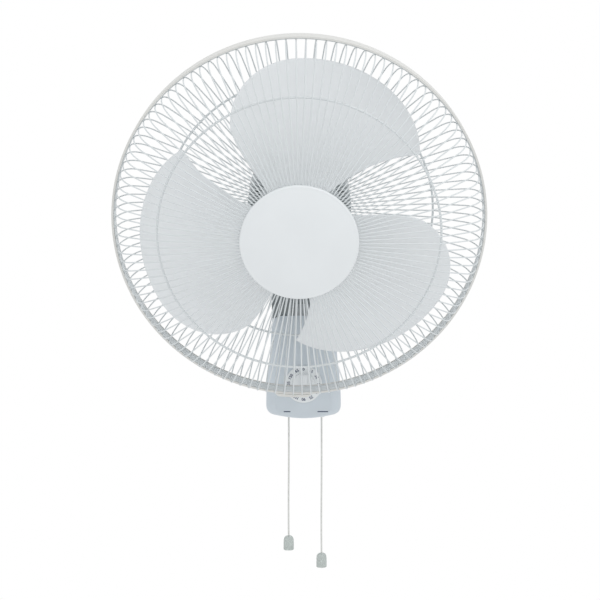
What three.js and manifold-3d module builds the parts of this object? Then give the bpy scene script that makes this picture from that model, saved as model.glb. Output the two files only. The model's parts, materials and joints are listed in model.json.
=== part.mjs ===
// A wall fan: a wall box with a timer dial and two pull cords carries a head
// that tilts on a bolt and swings on a pin. Millimetres, +Z up. The wall is the
// plane y = 0, the fan blows towards -Y, and the origin is the middle of the
// wall plate's back face. Head pieces are drawn on the fan's own axis: there z
// is the distance forward of the guard's middle plane, y is up and x is right.
import * as THREE from 'three';
import { mergeVertices } from 'three/addons/utils/BufferGeometryUtils.js';
import Module from 'manifold-3d';

const wasm = await Module();
wasm.setup();

// ---------- Driving dimensions ----------
const gap = 0.3; // between pieces that touch or run on each other

// Where the head is, as photographed
const tiltAtRest = THREE.MathUtils.degToRad(22); // fan axis below level
const tiltFurther = THREE.MathUtils.degToRad(13); // down from there to the stop
const swingToBolt = 108.6; // fan axis to tilt bolt, along the swing axis
const swingBehindGuard = 92; // guard's middle plane to the swing axis
const boltBehindFace = 13; // box's front face to tilt bolt
const boltHeight = 44.8; // above the origin
const motorOffset = -4.3; // fan axis to the left of the swing axis

// Guard
const guardRadius = 172.5;
const bandWidth = 18.4;
const bandWall = 1.2;
const bandLip = 0.9;
const bandSplit = 2;
const rimHoopThickness = 2.5;
const wireCount = 120; // in each guard
const wireDiameter = 1.4;
const wireSpread = 1.24; // across its three corners, as a share of the wire
const wireBend = 2.6; // 2 bends a wire in an ellipse, and more squares it
const wireShoulder = THREE.MathUtils.degToRad(29); // along that ellipse
const hoopRadius = 126.6;
const hoopThickness = 2;
const frontHoopDepth = 44.8;
const rearHoopDepth = 32;
const frontPlateRadius = 50;
const frontPlateDepth = 53.4;
const rearPlateRadius = 40;
const rearPlateDepth = 41.2;
const plateThickness = 3;
const frontPlateHole = 18;
const claspSpan = THREE.MathUtils.degToRad(11.5);
const claspThickness = 3.2;
const claspShift = THREE.MathUtils.degToRad(-2);
const guardScrewRadius = 2;
const guardScrewHead = 1.6;

// Front cap
const capRadius = 52.8;
const capEdge = 2.6;
const capDome = 4.6;
const capWall = 1.8;
const capSeatRadius = 30;

// Blade
const bladeCount = 3;
const tipRadius = 152.5;
const bladeThickness = 1.8;
const bladeHeel = { x: -61.5, y: 95 }; // the trailing edge's outer end
const bladeToe = { x: 110.7, y: 60 }; // the leading edge's outer end
const bladeMiddle = -4.3; // where the blade crosses the guard's depth
const bladePitch = 19.8; // half the axial sweep of the blade at pitchRadius
const pitchRadius = 141.8;
const pitchTurn = THREE.MathUtils.degToRad(20);
const pitchFalloff = 0.45; // steeper towards the root
const hubRadius = 36.4;
const hubWall = 2.8;
const hubFront = 11;
const hubBack = -16;
const hubBossRadius = 9;
const hubBossInset = 3; // behind the hub's rim
const hubChamfer = 4;
const bladeNutRadius = 12;
const bladeNutLength = 12;

// Motor
const shaftRadius = 4;
const shaftFront = 20;
const shaftInTail = 12; // from the motor's end to the shaft's
const drivePinRadius = 1.5;
const drivePinLength = 24;
const motorRadius = 50;
const motorWall = 2.2;
const motorChamfer = 4;
const motorSides = 24;
const motorFrontLength = 37;
const motorRearLength = 46.5;
const motorTailRadius = 34;
const motorTailLength = 29.5; // of the rounded tail
const motorNeckRadius = 16.6;
const motorNeckLength = 11.8;
const bearingRadius = 9;
const bearingWidth = 8;
const bearingSeatDepth = 3; // inside the front housing
const guardNutRadius = 27;
const guardNutThickness = 6;
const statorLength = 32;
const statorBore = 21.8;
const windingDepth = 9;
const ventCount = 8;
const ventWidth = 3.6;
const ventLength = 8;
const frontVentRadius = 41.5;
const rearVentRadius = 24;

// Swing gear
const swivelPinRadius = 6;
const swivelBossRadius = 9.5;
const swivelPinInNeck = 24;
const swivelPinInBracket = 12;
const bracketWidth = 40;
const bracketLength = 36;
const bracketDrop = 56;
const bracketBossDrop = 63.8;
const saddleShare = 0.72; // of the motor's radius, where the bracket's saddle starts
const rockerArm = 15;
const crankThrow = 9.6;
const crankRadius = 12.6;
const crankThickness = 3;
const crankPinReach = 0.8;
const crankBehindPin = 34;
const swingMotorRadius = 16;
const swingMotorHeight = 9.2;
const mountPlateThickness = 3;
const linkWidth = 7;
const linkThickness = 2.4;
const studRadius = 1.8;

// Neck
const neckFlangeRadius = 22;
const neckFlangeThickness = 6;
const neckColumnRadius = 16;
const barrelRadius = 24;
const barrelHalfWidth = 32.3;
const tongueRadius = 9;
const tongueHalfWidth = 9.6;
const boltRadius = 4;
const boltHeadRadius = 7;
const boltHeadThickness = 4;

// Wall box
const boxDepth = 97; // wall to the box's front face
const boxHalfWidth = 38.4; // near the bottom
const boxHalfWidthTop = 30.4;
const boxBottom = -76.5; // at the corners
const boxSag = 4.8; // the bottom's curve at the middle
const boxSagShare = 0.35; // of the sag, where the corners end
const boxShoulder = -20; // the sides taper above here
const boxShoulderInset = 3.6;
const boxCheek = -45; // between the taper and the upright sides
const boxTop = 50;
const boxCorner = 9;
const boxWall = 2.4;
const boxEdge = 5;
const boxSplitDepth = 42; // wall to the parting line
const cradleGap = 0.6;
const plateHalfWidth = 24;
const plateHalfHeight = 45;
const wallPlateThickness = 2;
const screwHoleHeight = 32;
const wallScrewRadius = 2.1;
const wallScrewHeadRadius = 4.5;
const dialHeight = -46;
const dialSkirtRadius = 19;
const dialSkirtThickness = 2.4;
const dialGripRadius = 12;
const dialGripHeight = 9;
const dialShaftRadius = 3;
const timerWidth = 34;
const timerDepth = 14;
const cordDiameter = 1.8;
const speedCordX = -15.4;
const swingCordX = 18.8;
const cordsBehindFace = 25; // box's front face to the cords
const speedCordLength = 124;
const swingCordLength = 142;
const pullRadius = 5.4;
const pullHeight = 14.6;
const eyeletRadius = 3.2;
const eyeletThickness = 1;
const eyeletStem = 2.6;
const switchWidth = 24;
const switchHeight = 14;
const switchDepth = 15;
const switchTravel = 12;
const inletRadius = 4.5;
const inletBore = 3;
const inletReach = 20; // wall to the mains cord's inlet
const hookWidth = 8;
const hookSpread = 14;
const hookRise = 6;
const footHalfWidth = 20;
const footThickness = 4;

// ---------- Places worked out from the dimensions ----------
const forward = new THREE.Vector3(0, -Math.cos(tiltAtRest), -Math.sin(tiltAtRest));
const upward = new THREE.Vector3(0, -Math.sin(tiltAtRest), Math.cos(tiltAtRest));
const bolt = new THREE.Vector3(0, boltBehindFace - boxDepth, boltHeight);
const guardCentre = bolt.clone()
  .addScaledVector(upward, swingToBolt)
  .addScaledVector(forward, swingBehindGuard)
  .setX(motorOffset);
const swingX = -motorOffset; // the swing axis, on the fan's own axes
const swingZ = -swingBehindGuard;
const rimOuter = guardRadius - bandWall - gap;
const rimInner = rimOuter - rimHoopThickness;
const rimReach = bandWidth / 2 - bandLip - gap;
const rimSides = wireCount / 2;
const wireReach = wireDiameter * wireSpread / 2;
const wireRim = rimInner + wireReach;
const wireStart = rimReach * 0.8;
const rearPlateBack = -rearPlateDepth - plateThickness / 2;
const motorFront = rearPlateBack - gap;
const motorSplit = motorFront - motorFrontLength;
const motorEnd = motorSplit - gap - motorRearLength;
const motorInside = motorRadius - motorWall;
const shaftBack = motorEnd + shaftInTail;
const bossBack = hubBack + hubBossInset;
const drivePinZ = bossBack + drivePinRadius;
const neckTop = -bracketBossDrop - gap;
const wallFace = -(wallPlateThickness + gap);
const boxBottomMiddle = boxBottom - boxSag;
const cordReach = boxDepth - cordsBehindFace;
const cordTop = boxBottomMiddle + switchTravel;

// ---------- Solids ----------
function solid(geometry) {
  const bare = geometry.index ? geometry.toNonIndexed() : geometry.clone();
  bare.deleteAttribute('normal');
  bare.deleteAttribute('uv');
  const merged = mergeVertices(bare, 1e-4);
  const vertProperties = new Float32Array(merged.attributes.position.array);
  const corners = merged.index.array;
  const kept = [];
  let volume = 0;
  const [a, b, c] = [new THREE.Vector3(), new THREE.Vector3(), new THREE.Vector3()];
  for (let i = 0; i < corners.length; i += 3) {
    const [p, q, r] = [corners[i], corners[i + 1], corners[i + 2]];
    if (p === q || q === r || r === p) continue;
    kept.push(p, q, r);
    a.fromArray(vertProperties, 3 * p);
    b.fromArray(vertProperties, 3 * q);
    c.fromArray(vertProperties, 3 * r);
    volume += a.dot(b.cross(c));
  }
  if (volume < 0) kept.reverse();
  return new wasm.Manifold(new wasm.Mesh({
    numProp: 3, vertProperties, triVerts: new Uint32Array(kept),
  }));
}

function geometryOf(manifold) {
  const mesh = manifold.getMesh();
  const geometry = new THREE.BufferGeometry();
  geometry.setAttribute('position', new THREE.BufferAttribute(mesh.vertProperties, 3));
  geometry.setIndex(new THREE.BufferAttribute(mesh.triVerts, 1));
  const flat = geometry.toNonIndexed();
  flat.computeVertexNormals();
  return flat;
}

const at = (x, y) => new THREE.Vector2(x, y);

const join = (solids) => wasm.Manifold.union(solids);

// A profile of [radius, z] points turned about Z. It closes on itself, or on
// the axis where it starts and ends at radius 0.
function revolve(profile, sides = 28, x = 0, y = 0) {
  const points = profile.map(([r, z]) => new THREE.Vector2(r, z));
  const onAxis = profile[0][0] === 0 && profile.at(-1)[0] === 0;
  if (!onAxis) points.push(points[0].clone());
  return solid(new THREE.LatheGeometry(points, sides).rotateX(Math.PI / 2).translate(x, y, 0));
}

const tube = (outer, inner, z0, z1, sides = 20) => revolve(
  [[inner, z0], [outer, z0], [outer, z1], [inner, z1]], sides);

const rod = (radius, z0, z1, sides = 16, x = 0, y = 0) => revolve(
  [[0, z0], [radius, z0], [radius, z1], [0, z1]], sides, x, y);

function box(width, depth, height, x = 0, y = 0, z = 0) {
  return solid(new THREE.BoxGeometry(width, depth, height).translate(x, y, z));
}

// Turned from along Z to along X or Y, and moved into place
function placed(geometry, x, y, z) {
  return solid(geometry.translate(x, y, z));
}

function rodAlongX(radius, length, x, y, z, sides = 16) {
  return placed(new THREE.CylinderGeometry(radius, radius, length, sides)
    .rotateZ(Math.PI / 2), x, y, z);
}

function rodAlongY(radius, length, x, y, z, sides = 16) {
  return placed(new THREE.CylinderGeometry(radius, radius, length, sides), x, y, z);
}

function ringOf(count, make) {
  return Array.from({ length: count }, (_, i) => make(2 * Math.PI * i / count));
}

// ---------- Guards ----------
// Straight runs between stations, with a step at each station
class Stations extends THREE.Curve {
  constructor(points) {
    super();
    this.points = points;
  }

  getPoint(t) {
    const runs = this.points.length - 1;
    const i = Math.min(Math.floor(t * runs), runs - 1);
    return this.points[i].clone().lerp(this.points[i + 1], t * runs - i);
  }

  getUtoTmapping(u) {
    return u;
  }
}

// From the rim hoop a wire bends inward in a squared quarter ellipse, which
// meets the support hoop, then runs straight to the plate in the middle.
function wireStations(hoopDepth, plateRadius, plateDepth) {
  const outward = Math.cos(wireShoulder) ** (2 / wireBend);
  const deeper = Math.sin(wireShoulder) ** (2 / wireBend);
  return [
    new THREE.Vector3(wireRim, 0, wireStart),
    new THREE.Vector3(hoopRadius + (wireRim - hoopRadius) * outward, 0,
      wireStart + (hoopDepth - wireStart) * deeper),
    new THREE.Vector3(hoopRadius, 0, hoopDepth),
    new THREE.Vector3(plateRadius - plateThickness / 2, 0, plateDepth),
  ];
}

function wireGeometry(stations) {
  const section = new THREE.Shape(ringOf(3, (turn) => at(
    -wireReach * Math.sin(turn), wireReach * Math.cos(turn))));
  return new THREE.ExtrudeGeometry(section, {
    steps: stations.length - 1, extrudePath: new Stations(stations), curveSegments: 1,
  });
}

// side is 1 for the guard in front of the blade and -1 for the one behind it
function guard(side, hoopDepth, plateRadius, plateHole, plateDepth) {
  const wire = wireGeometry(wireStations(hoopDepth, plateRadius, plateDepth));
  wire.scale(1, 1, side);
  const wires = ringOf(wireCount, (turn) => solid(
    wire.clone().rotateZ(turn + Math.PI / wireCount)));
  const rim = tube(rimOuter, rimInner, side * gap / 2, side * rimReach, rimSides);
  const middle = side * plateDepth;
  const plate = tube(plateRadius, plateHole,
    middle - plateThickness / 2, middle + plateThickness / 2, wireCount / 5);
  return join([rim, plate, ...wires]);
}

const frontGuard = () => guard(
  1, frontHoopDepth, frontPlateRadius, frontPlateHole, frontPlateDepth);
const rearGuard = () => guard(
  -1, rearHoopDepth, rearPlateRadius, motorNeckRadius + gap, rearPlateDepth);

// Welded under the wires, on the side of the blade
function supportHoop(side, depth) {
  const near = side * (depth - wireReach - gap);
  const far = near - side * hoopThickness;
  const half = hoopThickness / 2;
  return tube(hoopRadius + half, hoopRadius - half, near, far, wireCount / 3);
}

// A split channel round both rims
function guardBand() {
  const edge = bandWidth / 2;
  const wall = guardRadius - bandWall;
  const lip = wall - bandLip;
  const channel = revolve([
    [guardRadius, -edge], [guardRadius, edge], [lip, edge], [lip, edge - bandLip],
    [wall, edge - bandLip], [wall, bandLip - edge], [lip, bandLip - edge], [lip, -edge],
  ], rimSides);
  return channel.subtract(box(bandSplit, 4 * (bandWall + bandLip), bandWidth + 2,
    guardRadius * Math.sin(claspShift), -guardRadius * Math.cos(claspShift), 0));
}

function guardClasp() {
  const inner = guardRadius + gap;
  const outer = inner + claspThickness;
  const start = -Math.PI / 2 + claspShift - claspSpan / 2;
  const shape = new THREE.Shape();
  shape.absarc(0, 0, outer, start, start + claspSpan, false);
  shape.absarc(0, 0, inner, start + claspSpan, start, true);
  const depth = bandWidth - 1;
  const clasp = solid(new THREE.ExtrudeGeometry(shape, {
    depth, bevelEnabled: false, curveSegments: 8,
  }).translate(0, 0, -depth / 2));
  return clasp.subtract(screwAcross(guardScrewRadius + gap, claspThickness * 3));
}

function screwAcross(radius, length) {
  return solid(new THREE.CylinderGeometry(radius, radius, length, 12)
    .translate(0, -guardRadius - claspThickness / 2, 0).rotateZ(claspShift));
}

function guardScrew() {
  const top = guardRadius + 2 * gap + claspThickness;
  const tip = guardRadius - bandWall;
  const thin = bandSplit / 2 - gap;
  const head = new THREE.CylinderGeometry(
    2 * guardScrewRadius, 2 * guardScrewRadius, guardScrewHead, 16)
    .translate(0, -top - guardScrewHead / 2, 0).rotateZ(claspShift);
  const shank = new THREE.CylinderGeometry(thin, thin, top + guardScrewHead / 2 - tip, 12)
    .translate(0, -(top + guardScrewHead / 2 + tip) / 2, 0).rotateZ(claspShift);
  return solid(head).add(solid(shank));
}

// A shallow dome with a rolled edge and an inner ring that sits on the plate
function frontCap() {
  const back = frontPlateDepth + plateThickness / 2 + gap;
  const edge = back + capEdge;
  const dome = (r, lift) => [r, edge + lift + capDome * (1 - (r / capRadius) ** 2)];
  const inner = capRadius - capWall;
  const steps = [0.45, 0.8];
  const seat = capSeatRadius;
  return revolve([
    [0, edge + capDome], ...steps.map((k) => dome(k * capRadius, 0)),
    [capRadius, edge - 0.8], [capRadius, back], [inner, back],
    dome(inner, -capWall), [seat + capWall, dome(seat, -capWall)[1]],
    [seat + capWall, back], [seat, back], [seat, dome(seat, -capWall)[1]],
    [0, edge + capDome - capWall],
  ], 32);
}

// ---------- Blade ----------
const bladeEdges = {
  // Seen from the front, one blade upright, turning clockwise
  root: new THREE.EllipseCurve(0, 0, hubRadius - 1.4, hubRadius - 1.4,
    THREE.MathUtils.degToRad(133), THREE.MathUtils.degToRad(45), true),
  trailing: new THREE.CubicBezierCurve(
    at(-23.9, 25.6), at(-36, 42), at(bladeHeel.x, 78), at(bladeHeel.x, bladeHeel.y)),
  leading: new THREE.CubicBezierCurve(
    at(24.7, 24.7), at(48, 45), at(78, bladeToe.y), at(bladeToe.x, bladeToe.y)),
  shoulder: new THREE.CubicBezierCurve(
    at(bladeHeel.x, bladeHeel.y), at(bladeHeel.x, 128), at(-34, tipRadius), at(0, tipRadius)),
  tip: new THREE.CubicBezierCurve(
    at(0, tipRadius), at(65, tipRadius), at(112, 105), at(bladeToe.x, bladeToe.y)),
};

function outerEdge(u) {
  const { shoulder, tip } = bladeEdges;
  const share = 0.36; // of the outer edge that is the shoulder
  return u < share ? shoulder.getPoint(u / share) : tip.getPoint((u - share) / (1 - share));
}

// The patch between the four edges, u across the blade and v outward
function bladePoint(u, v) {
  const { root, trailing, leading } = bladeEdges;
  const [low, high] = [root.getPoint(u), outerEdge(u)];
  const [left, right] = [trailing.getPoint(v), leading.getPoint(v)];
  const corners = at(0, 0)
    .addScaledVector(root.getPoint(0), (1 - u) * (1 - v))
    .addScaledVector(root.getPoint(1), u * (1 - v))
    .addScaledVector(outerEdge(0), (1 - u) * v)
    .addScaledVector(outerEdge(1), u * v);
  return at(0, 0)
    .addScaledVector(low, 1 - v).addScaledVector(high, v)
    .addScaledVector(left, 1 - u).addScaledVector(right, u).sub(corners);
}

function bladeDepth(x, y) {
  const radius = Math.hypot(x, y);
  const turn = Math.atan2(x, y);
  return bladeMiddle - bladePitch * (radius / pitchRadius) ** pitchFalloff
    * Math.sin(turn - pitchTurn);
}

function oneBlade() {
  const sheet = new THREE.BoxGeometry(1, 1, bladeThickness, 7, 5, 1);
  const place = sheet.attributes.position;
  for (let i = 0; i < place.count; i++) {
    const p = bladePoint(place.getX(i) + 0.5, place.getY(i) + 0.5);
    place.setXYZ(i, p.x, p.y, bladeDepth(p.x, p.y) + place.getZ(i));
  }
  return sheet;
}

function blade() {
  const petal = oneBlade();
  const petals = ringOf(bladeCount, (turn) => solid(petal.clone().rotateZ(turn)));
  const inner = hubRadius - hubWall;
  const bore = shaftRadius + gap;
  const hub = revolve([
    [bore, bossBack], [hubBossRadius, bossBack], [hubBossRadius, hubFront - hubWall],
    [inner, hubFront - hubWall - hubChamfer / 2], [inner, hubBack], [hubRadius, hubBack],
    [hubRadius, hubFront - hubChamfer], [hubRadius - hubChamfer, hubFront], [bore, hubFront],
  ]);
  const pinSlot = box(drivePinLength + 2, 2 * (drivePinRadius + gap),
    2 * hubBossInset, 0, 0, bossBack);
  return join([hub, ...petals]).subtract(pinSlot);
}

function bladeNut() {
  const lobes = new THREE.Shape(ringOf(30, (turn) => {
    const r = bladeNutRadius * (1 + 0.06 * Math.cos(10 * turn));
    return at(r * Math.cos(turn), r * Math.sin(turn));
  }));
  const nut = solid(new THREE.ExtrudeGeometry(lobes, {
    depth: bladeNutLength - 2, bevelThickness: 2, bevelSize: 2, bevelOffset: -2, bevelSegments: 1,
  }).translate(0, 0, hubFront + gap));
  const bore = rod(shaftRadius + gap, hubFront - 1, shaftFront + gap);
  return nut.subtract(box(60, 60, 10, 0, 0, hubFront + gap - 5)).subtract(bore);
}

// ---------- Motor ----------
function shaft() {
  const pinHole = rodAlongX(drivePinRadius + gap, drivePinLength, 0, 0, drivePinZ, 12);
  return rod(shaftRadius, shaftBack, shaftFront).subtract(pinHole);
}

const drivePin = () => rodAlongX(drivePinRadius, drivePinLength, 0, 0, drivePinZ, 12);

const bearing = (middle) => tube(
  bearingRadius, shaftRadius + gap, middle - bearingWidth / 2, middle + bearingWidth / 2, 12);

const frontBearingZ = motorFront + motorNeckLength / 2 - 2;
const rearBearingZ = shaftBack + bearingWidth / 2 + 1;

function motorFrontHousing() {
  const seat = bearingRadius + gap;
  const neckEnd = motorFront + motorNeckLength;
  const bearingTop = frontBearingZ + bearingWidth / 2 + gap;
  const inside = motorFront - motorWall;
  const seatEnd = inside - bearingSeatDepth;
  const cut = motorChamfer;
  const cutInside = motorChamfer - 1;
  const cup = revolve([
    [shaftRadius + 2, bearingTop], [seat, bearingTop], [seat, seatEnd],
    [seat + motorWall, seatEnd], [seat + motorWall, inside],
    [motorInside - cutInside, inside], [motorInside, inside - cutInside],
    [motorInside, motorSplit], [motorRadius, motorSplit], [motorRadius, motorFront - cut],
    [motorRadius - cut, motorFront], [motorNeckRadius, motorFront],
    [motorNeckRadius, neckEnd], [shaftRadius + 2, neckEnd],
  ], motorSides);
  const slots = ringOf(ventCount, (turn) => solid(
    new THREE.BoxGeometry(ventLength, ventWidth, 3 * motorWall)
      .translate(frontVentRadius, 0, motorFront).rotateZ(turn)));
  return cup.subtract(join(slots));
}

// The tail narrows in a quarter ellipse to a flat end
function motorRearHousing() {
  const start = motorSplit - gap;
  const straight = motorEnd + motorTailLength;
  const steps = 3;
  const outline = (shrink, end) => Array.from({ length: steps + 1 }, (_, i) => {
    const turn = (Math.PI / 2) * (i / steps);
    return [
      motorTailRadius - shrink + (motorRadius - motorTailRadius) * Math.cos(turn),
      straight + (end - straight) * Math.sin(turn),
    ];
  });
  const seat = bearingRadius + gap;
  const bossFront = rearBearingZ + bearingWidth / 2;
  const bearingBack = shaftBack - gap;
  const cup = revolve([
    [0, motorEnd], ...outline(0, motorEnd).reverse(), [motorRadius, start],
    [motorInside, start], ...outline(motorWall, motorEnd + motorWall),
    [seat + motorWall, motorEnd + motorWall], [seat + motorWall, bossFront],
    [seat, bossFront], [seat, bearingBack], [0, bearingBack],
  ], motorSides);
  const slots = ringOf(ventCount, (turn) => solid(
    new THREE.BoxGeometry(ventLength, ventWidth, 3 * motorWall)
      .translate(rearVentRadius, 0, motorEnd).rotateZ(turn)));
  return cup.subtract(join(slots));
}

const statorFront = motorSplit + statorLength / 2 - 1;
const statorBack = statorFront - statorLength;
const statorCore = () => tube(motorInside - 1, statorBore, statorBack, statorFront, motorSides);
const frontWinding = () => tube(
  motorInside - 8, statorBore + 2, statorFront + gap, statorFront + gap + windingDepth, 16);
const rearWinding = () => tube(
  motorInside - 12, statorBore + 2, statorBack - gap - windingDepth, statorBack - gap, 16);
const motorRotor = () => tube(
  statorBore - 0.5, shaftRadius + gap, statorBack - 2, statorFront + 2);

function guardNut() {
  const back = -rearPlateDepth + plateThickness / 2 + gap;
  const ribs = new THREE.Shape(ringOf(36, (turn) => {
    const r = guardNutRadius * (1 + 0.035 * Math.cos(12 * turn));
    return at(r * Math.cos(turn), r * Math.sin(turn));
  }));
  const nut = solid(new THREE.ExtrudeGeometry(ribs, {
    depth: guardNutThickness, bevelEnabled: false,
  }).translate(0, 0, back));
  return nut.subtract(rod(motorNeckRadius + gap, back - 1, back + guardNutThickness + 1, 32));
}

// ---------- Swing gear ----------
// The casting under the motor: a saddle, a boss for the pin and a rear plate
// for the swing motor
function swingBracket() {
  const saddleTop = -motorRadius * saddleShare;
  const height = bracketDrop + saddleTop;
  const middleY = (saddleTop - bracketDrop) / 2;
  const block = box(bracketWidth, height, bracketLength, swingX, middleY, swingZ);
  const boss = rodAlongY(swivelBossRadius, bracketBossDrop - bracketDrop + 2,
    swingX, -(bracketBossDrop + bracketDrop - 2) / 2, swingZ);
  const plateTop = -(bracketDrop - swingMotorHeight - gap - mountPlateThickness);
  const plateBack = swingZ - crankBehindPin - swingMotorRadius;
  const plateFront = swingZ;
  const plateDepth = plateFront - plateBack;
  const arm = box(2 * swingMotorRadius, mountPlateThickness, plateDepth,
    swingX + rockerArm, plateTop - mountPlateThickness / 2, (plateFront + plateBack) / 2);
  const motorSpace = rod(motorRadius + gap, motorEnd - 40, motorFront, 28);
  const pinHole = rodAlongY(swivelPinRadius + gap, 40, swingX, -bracketBossDrop, swingZ);
  return block.add(boss).add(arm).subtract(motorSpace).subtract(pinHole);
}

const pinTop = -(bracketBossDrop - swivelPinInBracket);
const pinBottom = neckTop - swivelPinInNeck;
const swivelPin = () => rodAlongY(
  swivelPinRadius, pinTop - pinBottom, swingX, (pinTop + pinBottom) / 2, swingZ);

const crankX = swingX + rockerArm;
const crankZ = swingZ - crankBehindPin;
const crankTop = -bracketDrop - gap;
const swingMotor = () => rodAlongY(
  swingMotorRadius, swingMotorHeight, crankX, -bracketDrop + swingMotorHeight / 2, crankZ);

// Turned about its own middle: a disc with a pin that stops short of the link
function swingCrank() {
  const disc = rodAlongY(crankRadius, crankThickness, 0, -crankThickness / 2, 0);
  const pin = rodAlongY(studRadius, 2 * crankPinReach, crankThrow, -crankThickness, 0, 12);
  return disc.add(pin);
}

const linkTop = crankTop - crankThickness - crankPinReach - gap;
const linkLength = Math.hypot(crankBehindPin, crankThrow);
const linkTurn = Math.atan2(crankThrow, crankBehindPin);

// Drawn from its eye on the neck's stud towards -z
function swingLink() {
  const half = linkWidth / 2;
  const shape = new THREE.Shape();
  shape.absarc(0, 0, half, 0, Math.PI, false);
  shape.absarc(0, -linkLength, half, Math.PI, 2 * Math.PI, false);
  const bar = solid(new THREE.ExtrudeGeometry(shape, {
    depth: linkThickness, bevelEnabled: false, curveSegments: 5,
  }).rotateX(Math.PI / 2));
  const eye = rodAlongY(studRadius + gap, 4 * linkThickness, 0, 0, 0, 12);
  return bar.subtract(eye);
}

// ---------- Neck ----------
function neck() {
  const flangeBottom = neckTop - neckFlangeThickness;
  const column = solid(new THREE.LatheGeometry([
    at(0, -swingToBolt), at(neckColumnRadius, -swingToBolt), at(neckColumnRadius, flangeBottom - 6),
    at(neckFlangeRadius, flangeBottom), at(neckFlangeRadius, neckTop), at(0, neckTop),
  ], 24).translate(swingX, 0, swingZ));
  const barrel = rodAlongX(barrelRadius, 2 * barrelHalfWidth, swingX, -swingToBolt, swingZ, 28);
  const stud = rodAlongY(studRadius, 5, swingX + rockerArm, neckTop + 1.5, swingZ, 12);
  const pinBore = rodAlongY(swivelPinRadius + gap, 60, swingX, pinBottom - gap + 30, swingZ);
  const boltBore = rodAlongX(boltRadius + gap, 90, swingX, -swingToBolt, swingZ);
  const slotWidth = 2 * (tongueHalfWidth + gap);
  const slot = box(slotWidth, barrelRadius + 2, 2 * barrelRadius + 4,
    swingX, -swingToBolt - barrelRadius / 2 - 1, swingZ);
  const slotTop = rodAlongX(tongueRadius / Math.cos(tiltAtRest + tiltFurther) + 2 * gap,
    slotWidth, swingX, -swingToBolt, swingZ, 24);
  const recess = boltHeadRadius + gap;
  const recesses = [-1, 1].map((side) => rodAlongX(recess, 2 * (boltHeadThickness + gap),
    swingX + side * barrelHalfWidth, -swingToBolt, swingZ));
  return column.add(barrel).add(stud)
    .subtract(join([pinBore, boltBore, slot, slotTop, ...recesses]));
}

// ---------- Tilt bolt, drawn on the wall's axes ----------
function tiltBolt() {
  const grip = barrelHalfWidth - boltHeadThickness - gap;
  const shank = rodAlongX(boltRadius, 2 * grip + boltHeadThickness, 0, bolt.y, bolt.z);
  const head = rodAlongX(boltHeadRadius, boltHeadThickness,
    -barrelHalfWidth + boltHeadThickness / 2, bolt.y, bolt.z, 16);
  const past = box(
    2 * boltHeadThickness, 40, 40, grip + boltHeadThickness, bolt.y, bolt.z);
  return shank.add(head).subtract(past);
}

function tiltNut() {
  const hex = rodAlongX(boltHeadRadius, boltHeadThickness - gap,
    barrelHalfWidth - boltHeadThickness / 2, bolt.y, bolt.z, 6);
  return hex.subtract(rodAlongX(boltRadius + gap, 20, barrelHalfWidth, bolt.y, bolt.z));
}

// ---------- Wall box ----------
// The box from the front: tapering sides, round lower corners, sagging bottom
function boxOutline(inset) {
  const [low, top] = [boxHalfWidth - inset, boxHalfWidthTop - inset];
  const bottom = boxBottom + inset;
  const corner = boxCorner - inset;
  const cornerSag = boxSag * boxSagShare;
  const middleSag = 2 * boxSag - cornerSag;
  const mid = low - boxShoulderInset;
  const shape = new THREE.Shape();
  shape.moveTo(-top, boxTop - inset);
  shape.lineTo(-mid, boxShoulder);
  shape.quadraticCurveTo(-low, boxCheek, -low, bottom + corner);
  shape.quadraticCurveTo(-low, bottom, -low + corner, bottom - cornerSag);
  shape.quadraticCurveTo(0, bottom - middleSag, low - corner, bottom - cornerSag);
  shape.quadraticCurveTo(low, bottom, low, bottom + corner);
  shape.quadraticCurveTo(low, boxCheek, mid, boxShoulder);
  shape.lineTo(top, boxTop - inset);
  shape.closePath();
  return shape;
}

function boxBody(inset, front, back, edge) {
  const depth = front - back - edge;
  const body = new THREE.ExtrudeGeometry(boxOutline(inset), {
    depth, curveSegments: 4, bevelEnabled: edge > 0, bevelThickness: edge,
    bevelSize: edge * 0.8, bevelOffset: -edge * 0.8, bevelSegments: 2,
  }).rotateX(Math.PI / 2).translate(0, -back, 0);
  const square = solid(body);
  return square.subtract(box(200, 200, 400, 0, 100 - back, 0));
}

const barrelSpace = (extra) => rodAlongX(
  barrelRadius + extra, 200, 0, bolt.y, bolt.z, 28);

function boxShell() {
  const back = -wallFace;
  const outer = boxBody(0, boxDepth, back, boxEdge).subtract(barrelSpace(cradleGap));
  const inner = boxBody(boxWall, boxDepth - boxWall, back + boxWall, boxEdge - boxWall)
    .subtract(barrelSpace(cradleGap + boxWall));
  return outer.subtract(inner);
}

const hookShape = (side, y0, y1, z0, z1, width) => box(
  width, y1 - y0, z1 - z0, side * hookSpread, (y0 + y1) / 2, (z0 + z1) / 2);

function shellCuts() {
  const slotHalf = tongueRadius + 2 * gap;
  const tongueSlot = box(2 * (tongueHalfWidth + gap), 2 * slotHalf, 2 * barrelRadius,
    0, bolt.y, bolt.z - barrelRadius);
  const dialHole = rodAlongY(dialShaftRadius + 1, 12, 0, -boxDepth, dialHeight, 16);
  const cordHoles = [speedCordX, swingCordX].map((x) => rod(
    eyeletStem + gap, boxBottomMiddle - 10, boxBottomMiddle + 10, 12, x, -cordReach));
  const inlet = rod(
    inletRadius + gap, boxBottomMiddle - 10, boxBottomMiddle + 10, 16, 0, -inletReach);
  const screwPockets = [-1, 1].map((side) => rodAlongY(
    wallScrewHeadRadius + 1, 12, 0, wallFace, side * screwHoleHeight, 16));
  const hookSlots = [-1, 1].map((side) => hookShape(
    side, wallFace - 4, wallFace + 1, -hookRise - 1, hookRise + 1, hookWidth + 2));
  return join([tongueSlot, dialHole, inlet, ...cordHoles, ...screwPockets, ...hookSlots]);
}

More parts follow.
